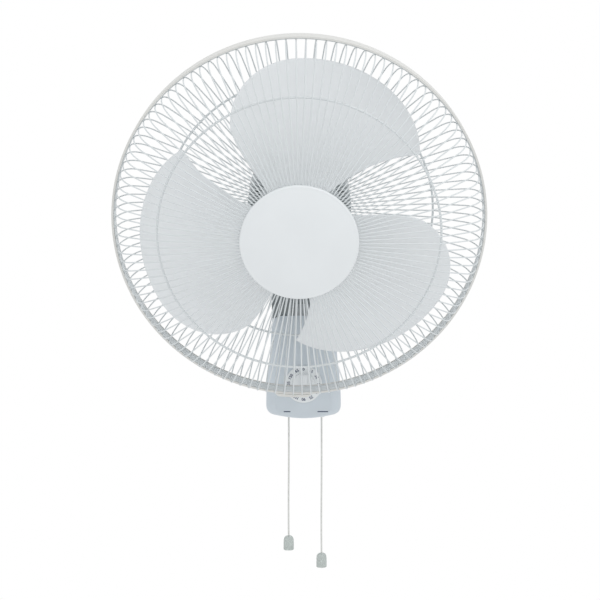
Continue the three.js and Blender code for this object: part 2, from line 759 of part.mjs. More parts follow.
function boxHalves() {
  const shell = boxShell().subtract(shellCuts());
  const half = (y0, y1) => shell.intersect(
    box(200, y1 - y0, 400, 0, (y0 + y1) / 2, 0));
  return {
    front: half(-2 * boxDepth, -boxSplitDepth - gap / 2),
    rear: half(-boxSplitDepth + gap / 2, 10),
  };
}

// A pressed plate with two upturned hooks that enter the rear cover
function wallPlate() {
  const t = wallPlateThickness;
  const plate = box(2 * plateHalfWidth, t, 2 * plateHalfHeight, 0, -t / 2, 0);
  const hooks = [-1, 1].map((side) => join([
    hookShape(side, wallFace - boxWall - gap - t, -t / 2, -hookRise, -hookRise + t, hookWidth),
    hookShape(side, wallFace - boxWall - gap - t, wallFace - boxWall - gap,
      -hookRise, hookRise, hookWidth),
  ]));
  const holes = [-1, 1].map((side) => rodAlongY(
    wallScrewRadius + gap, 12, 0, 0, side * screwHoleHeight, 16));
  return join([plate, ...hooks]).subtract(join(holes));
}

function wallScrew(side) {
  const z = side * screwHoleHeight;
  const head = rodAlongY(wallScrewHeadRadius, 2, 0, wallFace - 1, z, 16);
  const shank = rodAlongY(wallScrewRadius, 1 - wallFace, 0, (wallFace - 1) / 2, z, 12);
  return head.add(shank);
}

// The post that carries the head: a tongue round the bolt on a foot across the box
function tiltPost() {
  const shape = new THREE.Shape();
  const [y, z] = [bolt.y, bolt.z];
  const footTop = z - barrelRadius - cradleGap - boxWall - 2 * gap - 2;
  const front = -(boxDepth - boxWall - 2 * gap);
  const back = wallFace - boxWall - wallPlateThickness - 3 * gap;
  shape.moveTo(y - tongueRadius, z);
  shape.lineTo(y - tongueRadius, footTop);
  shape.lineTo(front, footTop);
  shape.lineTo(front, footTop - footThickness);
  shape.lineTo(back, footTop - footThickness);
  shape.lineTo(back, footTop);
  shape.lineTo(y + tongueRadius, footTop);
  shape.lineTo(y + tongueRadius, z);
  shape.absarc(y, z, tongueRadius, 0, Math.PI, false);
  const post = solid(new THREE.ExtrudeGeometry(shape, {
    depth: 2 * tongueHalfWidth, bevelEnabled: false, curveSegments: 12,
  }).rotateX(Math.PI / 2).rotateZ(Math.PI / 2).translate(-tongueHalfWidth, 0, 0));
  const foot = box(2 * footHalfWidth, back - front, footThickness,
    0, (back + front) / 2, footTop - footThickness / 2);
  return post.add(foot).subtract(rodAlongX(boltRadius + gap, 60, 0, y, z));
}

function timerUnit() {
  const front = -(boxDepth - boxWall - gap);
  return box(timerWidth, timerDepth, timerWidth, 0, front + timerDepth / 2, dialHeight);
}

// Drawn about its own axis, z forward
function timerDial() {
  const skirt = revolve([
    [0, 0], [dialSkirtRadius, 0], [dialSkirtRadius, dialSkirtThickness - 1],
    [dialSkirtRadius - 1.4, dialSkirtThickness], [0, dialSkirtThickness],
  ], 24);
  const grip = revolve([
    [0, dialSkirtThickness - 0.5], [dialGripRadius, dialSkirtThickness - 0.5],
    [dialGripRadius - 1, dialSkirtThickness + 3], [0, dialSkirtThickness + 3],
  ], 16);
  const bar = box(7, 2 * dialGripRadius - 2, dialGripHeight, 0, 0,
    dialSkirtThickness + dialGripHeight / 2 - 0.5);
  const stem = rod(dialShaftRadius, -boxWall, 1, 16);
  return join([skirt, grip, bar, stem]);
}

function pullSwitch(x) {
  return box(switchWidth, switchDepth, switchHeight, x, -cordReach, cordTop + gap + switchHeight / 2);
}

// The outside of the box's floor between its corners
function boxBottomAt(x) {
  const reach = boxHalfWidth - boxCorner;
  const share = (1 - (x / reach) ** 2) / 2;
  return boxBottom - boxSag * boxSagShare - 2 * boxSag * (1 - boxSagShare) * share;
}

// A flanged bush in the box's floor round the cord
function eyelet(x) {
  const top = boxBottomMiddle + boxWall + 2;
  const flangeTop = boxBottomAt(Math.abs(x) - eyeletRadius) - gap;
  const bore = cordDiameter / 2 + gap;
  return revolve([
    [bore, flangeTop - eyeletThickness], [eyeletRadius, flangeTop - eyeletThickness],
    [eyeletRadius, flangeTop], [eyeletStem, flangeTop], [eyeletStem, top], [bore, top],
  ], 12, x, -cordReach);
}

function cordInlet() {
  const top = boxBottomMiddle + boxWall + 2;
  const flangeTop = boxBottomMiddle - gap;
  return revolve([
    [inletBore, flangeTop - 3], [inletRadius + 1.4, flangeTop - 3],
    [inletRadius + 1.4, flangeTop], [inletRadius, flangeTop], [inletRadius, top], [inletBore, top],
  ], 14, 0, -inletReach);
}

function pullCord(x, length) {
  const route = new THREE.CatmullRomCurve3([
    new THREE.Vector3(x, -cordReach, cordTop),
    new THREE.Vector3(x, -cordReach, (cordTop + boxBottomMiddle - length) / 2),
    new THREE.Vector3(x, -cordReach, boxBottomMiddle - length),
  ]);
  const section = new THREE.Shape(ringOf(8, (turn) => at(
    cordDiameter / 2 * Math.cos(turn), cordDiameter / 2 * Math.sin(turn))));
  return solid(new THREE.ExtrudeGeometry(section, {
    steps: Math.round(length / (3 * cordDiameter)), extrudePath: route,
  }));
}

// A faceted bell, narrow where the cord enters
function cordPull() {
  const r = pullRadius;
  const bell = revolve([
    [0, 0], [r * 0.42, 0], [r * 0.62, -2], [r * 0.88, -pullHeight * 0.45],
    [r, -pullHeight + 2], [r * 0.92, -pullHeight], [r * 0.7, -pullHeight],
    [r * 0.62, -pullHeight + 3], [0, -pullHeight + 3],
  ], 10);
  return bell;
}

// ---------- The object ----------
const paint = (color, roughness, metalness = 0) => new THREE.MeshStandardMaterial(
  { color, roughness, metalness });
const coatedWire = paint('#e9ebe9', 0.4);
const blueBlade = paint('#d3dadd', 0.3);
const palePlastic = paint('#e6eaec', 0.38);
const boxPlastic = paint('#c3cace', 0.42);
const greyPlastic = paint('#8f9597', 0.5);
const milkyPlastic = paint('#bfc7c2', 0.3);
const zincSteel = paint('#a9adaf', 0.35, 0.9);
const darkSteel = paint('#4e5254', 0.45, 0.8);
const copper = paint('#b06a3c', 0.4, 0.9);
const brass = paint('#b69a5a', 0.35, 0.9);
const blackPlastic = paint('#2b2d2e', 0.5);
const whiteCord = paint('#e4e4e0', 0.9);

const fan = new THREE.Group();
const head = new THREE.Group(); // its z is the fan's axis, forward
head.position.copy(guardCentre);
head.rotation.x = Math.PI / 2 + tiltAtRest;
fan.add(head);

function piece(parent, name, manifold, material, x = 0, y = 0, z = 0) {
  const mesh = new THREE.Mesh(geometryOf(manifold), material);
  mesh.name = name;
  mesh.position.set(x, y, z);
  parent.add(mesh);
  return mesh;
}

const halves = boxHalves();
piece(fan, 'wall_plate', wallPlate(), zincSteel);
piece(fan, 'wall_screw_upper', wallScrew(1), zincSteel);
piece(fan, 'wall_screw_lower', wallScrew(-1), zincSteel);
piece(fan, 'box_rear_cover', halves.rear, boxPlastic);
piece(fan, 'box_front_cover', halves.front, boxPlastic);
piece(fan, 'tilt_post', tiltPost(), zincSteel);
piece(fan, 'tilt_bolt', tiltBolt(), zincSteel);
piece(fan, 'tilt_nut', tiltNut(), zincSteel);
piece(fan, 'timer_unit', timerUnit(), blackPlastic);
piece(fan, 'timer_dial', timerDial(), palePlastic, 0, -boxDepth - gap, dialHeight)
  .rotation.x = Math.PI / 2;
piece(fan, 'cord_inlet_bush', cordInlet(), greyPlastic);

const controls = [
  { name: 'speed', x: speedCordX, length: speedCordLength },
  { name: 'swing', x: swingCordX, length: swingCordLength },
];
for (const { name, x, length } of controls) {
  piece(fan, `${name}_switch`, pullSwitch(x), blackPlastic);
  piece(fan, `${name}_cord_eyelet`, eyelet(x), palePlastic);
  piece(fan, `${name}_cord`, pullCord(x, length), whiteCord);
  piece(fan, `${name}_cord_pull`, cordPull(), milkyPlastic,
    x, -cordReach, boxBottomMiddle - length - gap);
}

piece(head, 'neck', neck(), greyPlastic);
piece(head, 'swing_link', swingLink(), zincSteel, crankX, linkTop, swingZ).rotation.y = -linkTurn;
piece(head, 'swing_bracket', swingBracket(), darkSteel);
piece(head, 'swivel_pin', swivelPin(), zincSteel);
piece(head, 'swing_motor', swingMotor(), zincSteel);
piece(head, 'swing_crank', swingCrank(), blackPlastic, crankX, crankTop, crankZ);
piece(head, 'motor_front_housing', motorFrontHousing(), greyPlastic);
piece(head, 'motor_rear_housing', motorRearHousing(), greyPlastic);
piece(head, 'stator_core', statorCore(), darkSteel);
piece(head, 'stator_front_winding', frontWinding(), copper);
piece(head, 'stator_rear_winding', rearWinding(), copper);
piece(head, 'motor_rotor', motorRotor(), darkSteel);
piece(head, 'motor_shaft', shaft(), zincSteel);
piece(head, 'front_bearing', bearing(frontBearingZ), brass);
piece(head, 'rear_bearing', bearing(rearBearingZ), brass);
piece(head, 'blade_drive_pin', drivePin(), zincSteel);
piece(head, 'blade', blade(), blueBlade);
piece(head, 'blade_nut', bladeNut(), palePlastic);
piece(head, 'guard_nut', guardNut(), palePlastic);
piece(head, 'rear_guard', rearGuard(), coatedWire);
piece(head, 'rear_guard_hoop', supportHoop(-1, rearHoopDepth), coatedWire);
piece(head, 'front_guard', frontGuard(), coatedWire);
piece(head, 'front_guard_hoop', supportHoop(1, frontHoopDepth), coatedWire);
piece(head, 'guard_band', guardBand(), palePlastic);
piece(head, 'guard_clasp', guardClasp(), palePlastic);
piece(head, 'guard_screw', guardScrew(), zincSteel);
piece(head, 'front_cap', frontCap(), palePlastic);

export default fan;
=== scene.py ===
"""Looks of a wall fan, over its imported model.

Sizes are in millimetres until a mesh is made. The head's pieces are drawn on the
fan's own axes, x right, y up and z forward of the guard's middle plane, and then
tilted into place. A guard wire leaves the rim along the axis, turns inward on a
parabola, follows a second, flatter one to the support hoop, and runs straight on
to the middle plate. A blade is the patch between four edges: across it, the two
side edges are mixed, outward the root and the outer edge are mixed, and the mix of
the corners is taken off. Its depth falls and rises with the sine of the angle round
the shaft. Turned pieces are a profile of radius and height swept round an axis,
with its corners rounded.
"""

import json
import math

import bpy
import numpy as np
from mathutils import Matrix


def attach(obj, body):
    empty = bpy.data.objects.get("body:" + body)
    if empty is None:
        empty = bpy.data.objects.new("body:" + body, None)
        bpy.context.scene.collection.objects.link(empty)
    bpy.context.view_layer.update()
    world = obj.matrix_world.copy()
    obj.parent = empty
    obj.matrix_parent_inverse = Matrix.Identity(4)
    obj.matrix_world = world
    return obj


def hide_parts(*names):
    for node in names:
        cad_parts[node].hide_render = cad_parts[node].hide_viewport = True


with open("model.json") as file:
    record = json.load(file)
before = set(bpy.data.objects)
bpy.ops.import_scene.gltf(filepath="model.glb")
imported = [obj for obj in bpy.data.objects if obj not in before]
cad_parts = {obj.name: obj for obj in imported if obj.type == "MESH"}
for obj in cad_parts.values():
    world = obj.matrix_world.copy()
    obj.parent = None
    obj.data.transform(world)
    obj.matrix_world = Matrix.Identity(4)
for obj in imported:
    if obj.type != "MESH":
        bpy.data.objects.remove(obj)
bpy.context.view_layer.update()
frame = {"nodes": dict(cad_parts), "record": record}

# ---------- Sizes, in mm ----------
GAP = 0.3  # between pieces that touch or run on each other
TILT = math.radians(22)
BOLT = np.array([0.0, -84.0, 44.8])
UP = np.array([0.0, -math.sin(TILT), math.cos(TILT)])
FORWARD = np.array([0.0, -math.cos(TILT), -math.sin(TILT)])
RIGHT = np.array([1.0, 0.0, 0.0])
SWING_TO_BOLT = 108.6
SWING_X, SWING_Z = 4.3, -92.0
CENTRE = BOLT + SWING_TO_BOLT * UP - SWING_Z * FORWARD - SWING_X * RIGHT

GUARD_RADIUS = 172.5
BAND_HALF = 8.2
BAND_WALL = 1.2
BAND_LIP = 0.9
RIM_OUTER, RIM_INNER = 171.0, 169.6
WIRE_COUNT = 120
WIRE_RADIUS = 0.62
WIRE_PHASE = 0.32  # of the step between two wires
HOOP_RADIUS = 126.6
FRONT_PATH = [(169.2, 3.0), (168.6, 25.0), (158.0, 31.6), (134.6, 42.4), (HOOP_RADIUS, 44.8)]
REAR_PATH = [(168.8, 0.8), (165.5, 16.0), (156.0, 20.0), (140.0, 26.6), (HOOP_RADIUS, 32.0)]
FRONT_HOOP, REAR_HOOP = 44.8, 32.0
FRONT_RIM_REACH, REAR_RIM_REACH = 7.0, 4.0
HOOP_WIRE = 1.0  # radius
WELD = 0.1  # between a hoop and the wires on it
PLATE_HALF = 1.5
FRONT_PLATE, FRONT_PLATE_DEPTH, FRONT_PLATE_HOLE = 50.0, 53.4, 18.0
REAR_PLATE, REAR_PLATE_DEPTH, REAR_PLATE_HOLE = 40.0, 41.2, 17.2
CLASP_MIDDLE = math.radians(-92)
CLASP_SPAN = math.radians(11.5)
CLASP_THICKNESS, CLASP_HALF, CLASP_END = 3.2, 8.4, 0.22

CAP_RADIUS, CAP_BACK, CAP_EDGE, CAP_DOME = 52.8, 55.2, 2.6, 4.6
CAP_WALL, CAP_ROLL = 1.8, 1.5

TIP_RADIUS = 152.5
BLADE_THICKNESS = 1.8
HUB_RADIUS, HUB_FRONT, HUB_BACK = 36.4, 11.0, -16.0
HUB_BORE, HUB_BOSS, HUB_INSIDE = 4.3, 9.0, 33.6
ROOT_RADIUS, ROOT_FROM, ROOT_SWEEP = 35.0, 133, 88
PITCH_MIDDLE, PITCH_RISE, PITCH_REACH, PITCH_POWER = -4.3, 19.8, 141.8, 0.45
PITCH_TURN = math.radians(20)
BLADE_WIDE, BLADE_LONG = 110, 120  # about, to place the round of its edges

MOTOR_RADIUS, MOTOR_FRONT, MOTOR_SPLIT, MOTOR_END = 50.0, -43.0, -80.0, -126.8
MOTOR_TAIL, MOTOR_NECK, MOTOR_WALL, MOTOR_EDGE = 34.0, 16.6, 2.2, 4.0
MOTOR_NECK_LENGTH = 11.8
SEAT_BORE, SEAT_RADIUS, SEAT_FRONT = 6.0, 9.3, -35.1
SLOT_HALF, SLOT_DEEP = 1.8, 4.0
CRANK_X, CRANK_BEHIND = 15.0, 34.0
PIN_RADIUS, BOLT_HOLE, SCREW_RECESS = 6.0, 4.3, 7.3
TONGUE_HALF, TONGUE_TOP = 9.9, 11.6

BOX_DEPTH, BOX_SPLIT, BOX_BACK = 97.0, 42.0, 2.3
BOX_HALF, BOX_HALF_TOP, BOX_BOTTOM, BOX_TOP, BOX_SAG = 38.4, 30.4, -76.5, 50.0, 4.8
BOX_BEVEL, BEVEL_START, BEVEL_SHARE = 8.5, 0.9, 0.8
BOX_WALL, BOX_CORNER, BOX_WAIST, BOX_FLARE = 2.4, 9.0, -20.0, 3.6
EDGE_SHARE = 0.35  # of a front edge's radius, that the face is drawn in by
CORD_HOLE, INLET_HOLE, INLET_REACH = 2.9, 4.8, 20.0
BARREL_RADIUS, BARREL_HALF = 24.0, 32.3
DIAL_HEIGHT, SKIRT_RADIUS, SKIRT, GRIP_RADIUS, GRIP = -46.0, 19.0, 2.4, 12.0, 9.0
NUMBER_COUNT, NUMBER_STEP, NUMBER_SIZE, NUMBER_RADIUS = 12, 15, 4.0, 15.2
NUMBER_WEIGHT, PRINT_HEIGHT = 0.09, 0.05
MARK_LOW, MARK_HIGH = -74.6, -73.6
MARK_SPANS = [(-20.2, -13.4), (14.2, 25.0)]
CORD_REACH, CORD_DIAMETER, CORD_TOP = 72.0, 1.8, -69.3
CORDS = {"speed": (-15.4, -205.3), "swing": (18.8, -223.3)}
PULL_RADIUS, PULL_HEIGHT = 5.4, 14.6
BOX_UNDER = BOX_BOTTOM - BOX_SAG

# ---------- The photo's camera ----------
PHOTO_HALF, FOCAL = 300, 1175  # half its width and its focal length, in pixels
CAMERA_PLACE = (-0.00365, -1.297, 0.0399)  # m


# ---------- Places ----------
def on_head(p):
    """Points on the fan's own axes, moved to where the tilted head has them."""
    p = np.asarray(p, float)
    return CENTRE + p[..., :1] * RIGHT + p[..., 1:2] * UP + p[..., 2:3] * FORWARD


def head_axis(r, turn, s):
    """Round the fan's own axis."""
    return on_head(np.stack([r * np.cos(turn), r * np.sin(turn), s + 0 * turn], -1))


def swing_axis(x, z):
    """Round an axis along the head's own height, at x and z."""
    return lambda r, turn, s: on_head(np.stack(
        [x + r * np.cos(turn), s + 0 * turn, z + r * np.sin(turn)], -1))


def across(y, z):
    """Round an axis along X."""
    return lambda r, turn, s: np.stack(
        [s + 0 * turn, y + r * np.cos(turn), z + r * np.sin(turn)], -1)


def upright(x, y):
    """Round a plumb axis."""
    return lambda r, turn, s: np.stack(
        [x + r * np.cos(turn), y + r * np.sin(turn), s + 0 * turn], -1)


def outward(x, y, z):
    """Round an axis that points away from the wall, with s counted from y."""
    return lambda r, turn, s: np.stack(
        [x + r * np.cos(turn), y - s + 0 * turn, z + r * np.sin(turn)], -1)


# ---------- Shapes: (points, faces) ----------
def facing_out(points, faces):
    """The faces turned over where the volume inside them comes out below zero."""
    volume = 0.0
    for face in faces:
        p = points[face]
        corner = np.broadcast_to(p[0], p[2:].shape)
        volume += np.einsum("ij,ij->", np.cross(p[1:-1], p[2:]), corner)
    return (points, faces) if volume > 0 else (points, [face[::-1] for face in faces])


def grid(points, wrap_u=False, caps=False):
    """Four-sided faces between closed rings of points, with the end rings capped or joined."""
    nu, nv = points.shape[:2]
    u = np.arange(nu if wrap_u else nu - 1)
    v = np.arange(nv)
    near, far = (u * nv)[:, None], ((u + 1) % nu * nv)[:, None]
    left, right = v[None, :], ((v + 1) % nv)[None, :]
    faces = np.stack([near + left, far + left, far + right, near + right], -1)
    faces = faces.reshape(-1, 4).tolist()
    if caps:
        faces.append(list(range(nv))[::-1])
        faces.append([(nu - 1) * nv + i for i in range(nv)])
    return facing_out(points.reshape(-1, 3), faces)


def rounded(profile, radius, closed=True, steps=4):
    """A polyline, with a parabola in place of each corner from radius before it to after."""
    profile = np.asarray(profile, float)
    count = len(profile)
    out = []
    for i, corner in enumerate(profile):
        if not closed and i in (0, count - 1):
            out.append(corner)
            continue
        before, after = profile[i - 1] - corner, profile[(i + 1) % count] - corner
        reach = min(radius, 0.49 * np.linalg.norm(before), 0.49 * np.linalg.norm(after))
        start = corner + before / np.linalg.norm(before) * reach
        end = corner + after / np.linalg.norm(after) * reach
        for t in np.linspace(0, 1, steps + 1):
            out.append((1 - t) ** 2 * start + 2 * t * (1 - t) * corner + t ** 2 * end)
    return np.array(out)


def turned(profile, place, sides=96, radius=0.6, steps=4, start=None, end=None):
    """A closed profile, or an open one that starts and ends on the axis, swept round."""
    profile = np.asarray(profile, float)
    closed = not (profile[0][0] == 0 and profile[-1][0] == 0)
    if radius:
        profile = rounded(profile, radius, closed, steps)
    r, s = np.maximum(profile[:, 0], 0.02)[:, None], profile[:, 1][:, None]
    if start is None:
        turn = np.linspace(0, 2 * math.pi, sides, endpoint=False)[None, :]
        return grid(place(r, turn, s), wrap_u=closed, caps=not closed)
    turn = np.linspace(start, end, sides)[:, None]
    return grid(place(profile[None, :, 0], turn, profile[None, :, 1]), caps=True)


def block(lo, hi, place=None):
    """A box from one corner to the opposite one."""
    x, y, z = zip(lo, hi)
    points = np.array([[i, j, k] for i in x for j in y for k in z], float)
    faces = [[0, 1, 3, 2], [4, 6, 7, 5], [0, 4, 5, 1], [2, 3, 7, 6], [0, 2, 6, 4], [1, 5, 7, 3]]
    return facing_out(points if place is None else place(points), faces)


def bezier(points, t):
    """The curve of second or third degree that three or four points pull, at t."""
    p = np.asarray(points, float)
    t = np.atleast_1d(t)[:, None]
    if len(p) == 3:
        return (1 - t) ** 2 * p[0] + 2 * t * (1 - t) * p[1] + t ** 2 * p[2]
    return ((1 - t) ** 3 * p[0] + 3 * t * (1 - t) ** 2 * p[1]
            + 3 * t ** 2 * (1 - t) * p[2] + t ** 3 * p[3])


# ---------- Objects ----------
def mesh_of(name, shapes):
    """One mesh of several shapes, in metres."""
    points, faces, count = [], [], 0
    for p, f in shapes:
        points.append(p)
        faces.extend([[i + count for i in face] for face in f])
        count += len(p)
    mesh = bpy.data.meshes.new(name)
    mesh.from_pydata((np.concatenate(points) / 1000).tolist(), [], faces)
    mesh.update()
    return mesh


def smoothed(mesh, angle):
    """Shaded smooth, apart from edges sharper than angle."""
    mesh.shade_smooth()
    mesh.set_sharp_from_angle(angle=math.radians(angle))
    return mesh


def add(name, shapes, body, material, nodes=(), angle=35):
    """A piece that rides body and stands in for the nodes."""
    mesh = shapes if isinstance(shapes, bpy.types.Mesh) else mesh_of(name, shapes)
    mesh.name = name
    obj = bpy.data.objects.new(name, smoothed(mesh, angle))
    bpy.context.collection.objects.link(obj)
    mesh.materials.clear()
    mesh.materials.append(material)
    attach(obj, body)
    if nodes:
        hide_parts(*nodes)
    return obj


def carved(name, base, steps):
    """base with each (operation, shapes) of steps applied by an exact boolean."""
    def temporary(shapes):
        mesh = shapes if isinstance(shapes, bpy.types.Mesh) else mesh_of("t", shapes)
        obj = bpy.data.objects.new("t", mesh)
        bpy.context.collection.objects.link(obj)
        return obj
    body = temporary(base)
    tools = []
    for operation, shapes in steps:
        tool = temporary(shapes)
        tools.append(tool)
        change = body.modifiers.new("cut", "BOOLEAN")
        change.operation = operation
        change.solver = "EXACT"
        change.object = tool
    bpy.context.view_layer.update()
    graph = bpy.context.evaluated_depsgraph_get()
    mesh = bpy.data.meshes.new_from_object(body.evaluated_get(graph))
    mesh.name = name
    for obj in [body, *tools]:
        bpy.data.objects.remove(obj, do_unlink=True)
    return mesh


# ---------- Materials ----------
def linear(text):
    """An sRGB hex colour as linear light."""
    values = [int(text[i:i + 2], 16) / 255 for i in (1, 3, 5)]
    return [v / 12.92 if v <= 0.04045 else ((v + 0.055) / 1.055) ** 2.4 for v in values]


def node(tree, kind, links=(), **values):
    """Adds a node. Values set sockets by name, or the node's own settings."""
    made = tree.nodes.new(kind)
    for key, value in values.items():
        if key in made.inputs:
            made.inputs[key].default_value = value
        else:
            setattr(made, key, value)
    for socket, source in dict(links).items():
        tree.links.new(source, made.inputs[socket])
    return made


def surface(name, colour, rough, metal=0.0, tint=0.03, cloud=40.0, grain=0.5, relief=0.02,
            stretch=(1, 1, 1), spread=0.06, **shader):
    """Colour that drifts over cloud mm, and a surface that is uneven over grain mm."""
    made = bpy.data.materials.new(name)
    made.use_nodes = True
    tree = made.node_tree
    shade = tree.nodes["Principled BSDF"]
    shade.inputs["Metallic"].default_value = metal
    for key, value in shader.items():
        shade.inputs[key.replace("_", " ")].default_value = value
    place = node(tree, "ShaderNodeTexCoord").outputs["Object"]
    scaled = node(tree, "ShaderNodeMapping", {"Vector": place}, Scale=stretch).outputs[0]
    drift = node(tree, "ShaderNodeTexNoise", {"Vector": place}, Scale=1000 / cloud, Detail=3.0)
    fine = node(tree, "ShaderNodeTexNoise", {"Vector": scaled}, Scale=1000 / grain, Detail=2.0)
    base = linear(colour)
    dark = [v * (1 - tint) for v in base] + [1]
    light = [min(1, v * (1 + tint)) for v in base] + [1]
    ramp = node(tree, "ShaderNodeValToRGB", {"Fac": drift.outputs["Fac"]})
    ramp.color_ramp.elements[0].position = 0.3
    ramp.color_ramp.elements[1].position = 0.7
    ramp.color_ramp.elements[0].color = dark
    ramp.color_ramp.elements[1].color = light
    tree.links.new(ramp.outputs["Color"], shade.inputs["Base Color"])
    gloss = node(tree, "ShaderNodeMapRange", {"Value": fine.outputs["Fac"]})
    gloss.inputs["To Min"].default_value = rough - spread
    gloss.inputs["To Max"].default_value = rough + spread
    tree.links.new(gloss.outputs["Result"], shade.inputs["Roughness"])
    bump = node(tree, "ShaderNodeBump", {"Height": fine.outputs["Fac"]},
                Strength=0.5, Distance=relief / 1000)
    tree.links.new(bump.outputs["Normal"], shade.inputs["Normal"])
    return made


MATERIALS = {
    # Bright, with a fine grain one way
    "zinc_steel": surface("zinc plated steel", "#b1b5b7", 0.32, 1.0, 0.06, 8, 0.5, 0.01,
                          (1, 8, 1)),
    # Satin, from a lightly etched mould, with a broad soft highlight
    "box_plastic": surface("moulded ABS, blue grey", "#d2dae0", 0.38, grain=0.45, relief=0.012),
    # Semi-gloss and almost even
    "pale_plastic": surface("moulded ABS, white", "#eceff0", 0.3, tint=0.015, grain=0.6,
                            relief=0.006),
    # Duller than the box, so that the neck keeps no sharp highlight. Its dark grey is painted
    # shade: it stands for the shade that the head casts on the neck, on plastic as pale as the box
    "grey_plastic": surface("moulded ABS, grey, dark as painted shade", "#7d8385", 0.45, grain=0.4, relief=0.02),
    # A stoved coat with a little orange peel
    "motor_paint": surface("painted steel, grey", "#9da2a4", 0.42, grain=0.8, relief=0.02),
    # Dark and dull
    "black_plastic": surface("nylon, black", "#2c2e2f", 0.5),
    # Some light goes into it, so that the pulls look cloudy and not painted
    "milky_plastic": surface("clouded polystyrene", "#cfd6d2", 0.22, tint=0.04, cloud=4,
                             Transmission_Weight=0.25, IOR=1.5),
    # Glossy, from a polished mould, and almost even in colour
    "blade_plastic": surface("styrene resin, pale blue", "#f2f4f5", 0.24, tint=0.012, cloud=60,
                             grain=1.2, relief=0.006),
    # A dipped coat, smooth and round, that gives each wire one thin highlight
    "coated_wire": surface("epoxy coated steel wire", "#e0e4e5", 0.35, grain=2, relief=0.004),
    # Softer in its shine than the wires
    "band_plastic": surface("moulded polypropylene, ivory", "#e3e2de", 0.4, tint=0.02, grain=3,
                            relief=0.004),
    # Uneven, as it comes from the die
    "dark_steel": surface("cast zinc, dark", "#585c5e", 0.5, 0.7, 0.1, 6, 0.6, 0.05),
    # Warm and shiny, with the turns drawn as a grain that is fine one way
    "copper_winding": surface("enamelled copper wire", "#b0683a", 0.35, 0.9, 0.12, 3, 0.5, 0.3,
                              (1, 12, 1)),
    # Pressed powder, so its shine breaks up
    "bearing_brass": surface("sintered bronze", "#b0945a", 0.45, 0.9, 0.1, 2, 0.3, 0.03),
    # Matt yarn, with its plaits drawn as a grain of 0.7 mm, coarse enough to show
    "cord_fabric": surface("braided polyester", "#dcdcd8", 0.85, tint=0.08, cloud=2, grain=0.7,
                           relief=0.25, stretch=(1, 1, 2)),
    # Flat ink
    "print": surface("pad print, blue black", "#2f3d5e", 0.5),
}
SLOT_OF = {s["node"]: s["material_slot"] for s in frame["record"]["subparts"]}
for name, obj in frame["nodes"].items():
    obj.data.materials.clear()
    obj.data.materials.append(MATERIALS[SLOT_OF[name]])

# ---------- Camera ----------
camera = bpy.data.objects.new("camera", bpy.data.cameras.new("camera"))
bpy.context.collection.objects.link(camera)
camera.data.sensor_fit = "HORIZONTAL"
camera.data.sensor_width = 36
camera.data.angle = 2 * math.atan(PHOTO_HALF / FOCAL)
camera.data.clip_end = 30
camera.location = CAMERA_PLACE
camera.rotation_euler = (math.pi / 2, 0, 0)
bpy.context.scene.camera = camera


# ---------- Cords and pulls ----------
def pull(z):
    """A bell with a hollow foot: a profile turned, less a flute eight times round it.

    The flutes follow the cosine of four times the angle, without its sign, and come in
    over the first few millimetres.
    """
    heights = [0, -0.4, -1.2, -2.4, -4, -6.5, -10, -13.4, -14.3, -PULL_HEIGHT]
    shares = [0.3, 0.56, 0.76, 0.89, 0.96, 0.985, 0.99, 0.99, 0.99, 0.95]
    profile = [(0, 0)] + list(zip([PULL_RADIUS * k for k in shares], heights))
    profile += [(PULL_RADIUS * 0.74, -PULL_HEIGHT), (PULL_RADIUS * 0.66, -PULL_HEIGHT + 3),
                (0, -PULL_HEIGHT + 3)]
    profile = rounded(profile, 0.5, closed=False, steps=3)
    turn = np.linspace(0, 2 * math.pi, 64, endpoint=False)[None, :]
    r, s = np.maximum(profile[:, :1], 0.02), profile[:, 1:]
    flute = 1 - 0.035 * (1 - np.abs(np.cos(4 * turn))) * np.clip(-s / 4, 0, 1)
    return r * flute, turn, s + z


for name, (x, bottom) in CORDS.items():
    heights = np.linspace(CORD_TOP, bottom, 22)
    sway = 0.25 * np.sin(np.linspace(0, 2 * math.pi, 22)) * np.linspace(0, 1, 22)
    route = np.stack([x + sway, -CORD_REACH + 0 * heights, heights], -1) / 1000
    curve = bpy.data.curves.new(f"{name}_pull_cord", "CURVE")
    curve.dimensions = "3D"
    curve.bevel_depth = CORD_DIAMETER / 2000
    curve.bevel_resolution = 4
    curve.use_fill_caps = True
    line = curve.splines.new("POLY")
    line.points.add(len(route) - 1)
    for point, place in zip(line.points, route):
        point.co = (*place, 1)
    cord = bpy.data.objects.new(f"{name}_pull_cord", curve)
    bpy.context.collection.objects.link(cord)
    curve.materials.append(MATERIALS["cord_fabric"])
    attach(cord, f"{name}_pull")
    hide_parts(f"{name}_cord")
    r, turn, s = pull(bottom - GAP)
    place = upright(x, -CORD_REACH)
    bell = add(f"{name}_bell", [grid(place(r, turn, s), caps=True)], f"{name}_pull",
               MATERIALS["milky_plastic"], [f"{name}_cord_pull"])
    foot, flange, tube_top = BOX_UNDER - 0.6, BOX_UNDER + 0.4, BOX_UNDER + 4.4
    add(f"{name}_cord_bush", [turned(
        [(1.2, foot), (3.2, foot), (3.2, flange), (2.6, flange), (2.6, tube_top),
         (1.2, tube_top)], place, 48, 0.4)],
        "wall_box", MATERIALS["pale_plastic"], [f"{name}_cord_eyelet"])


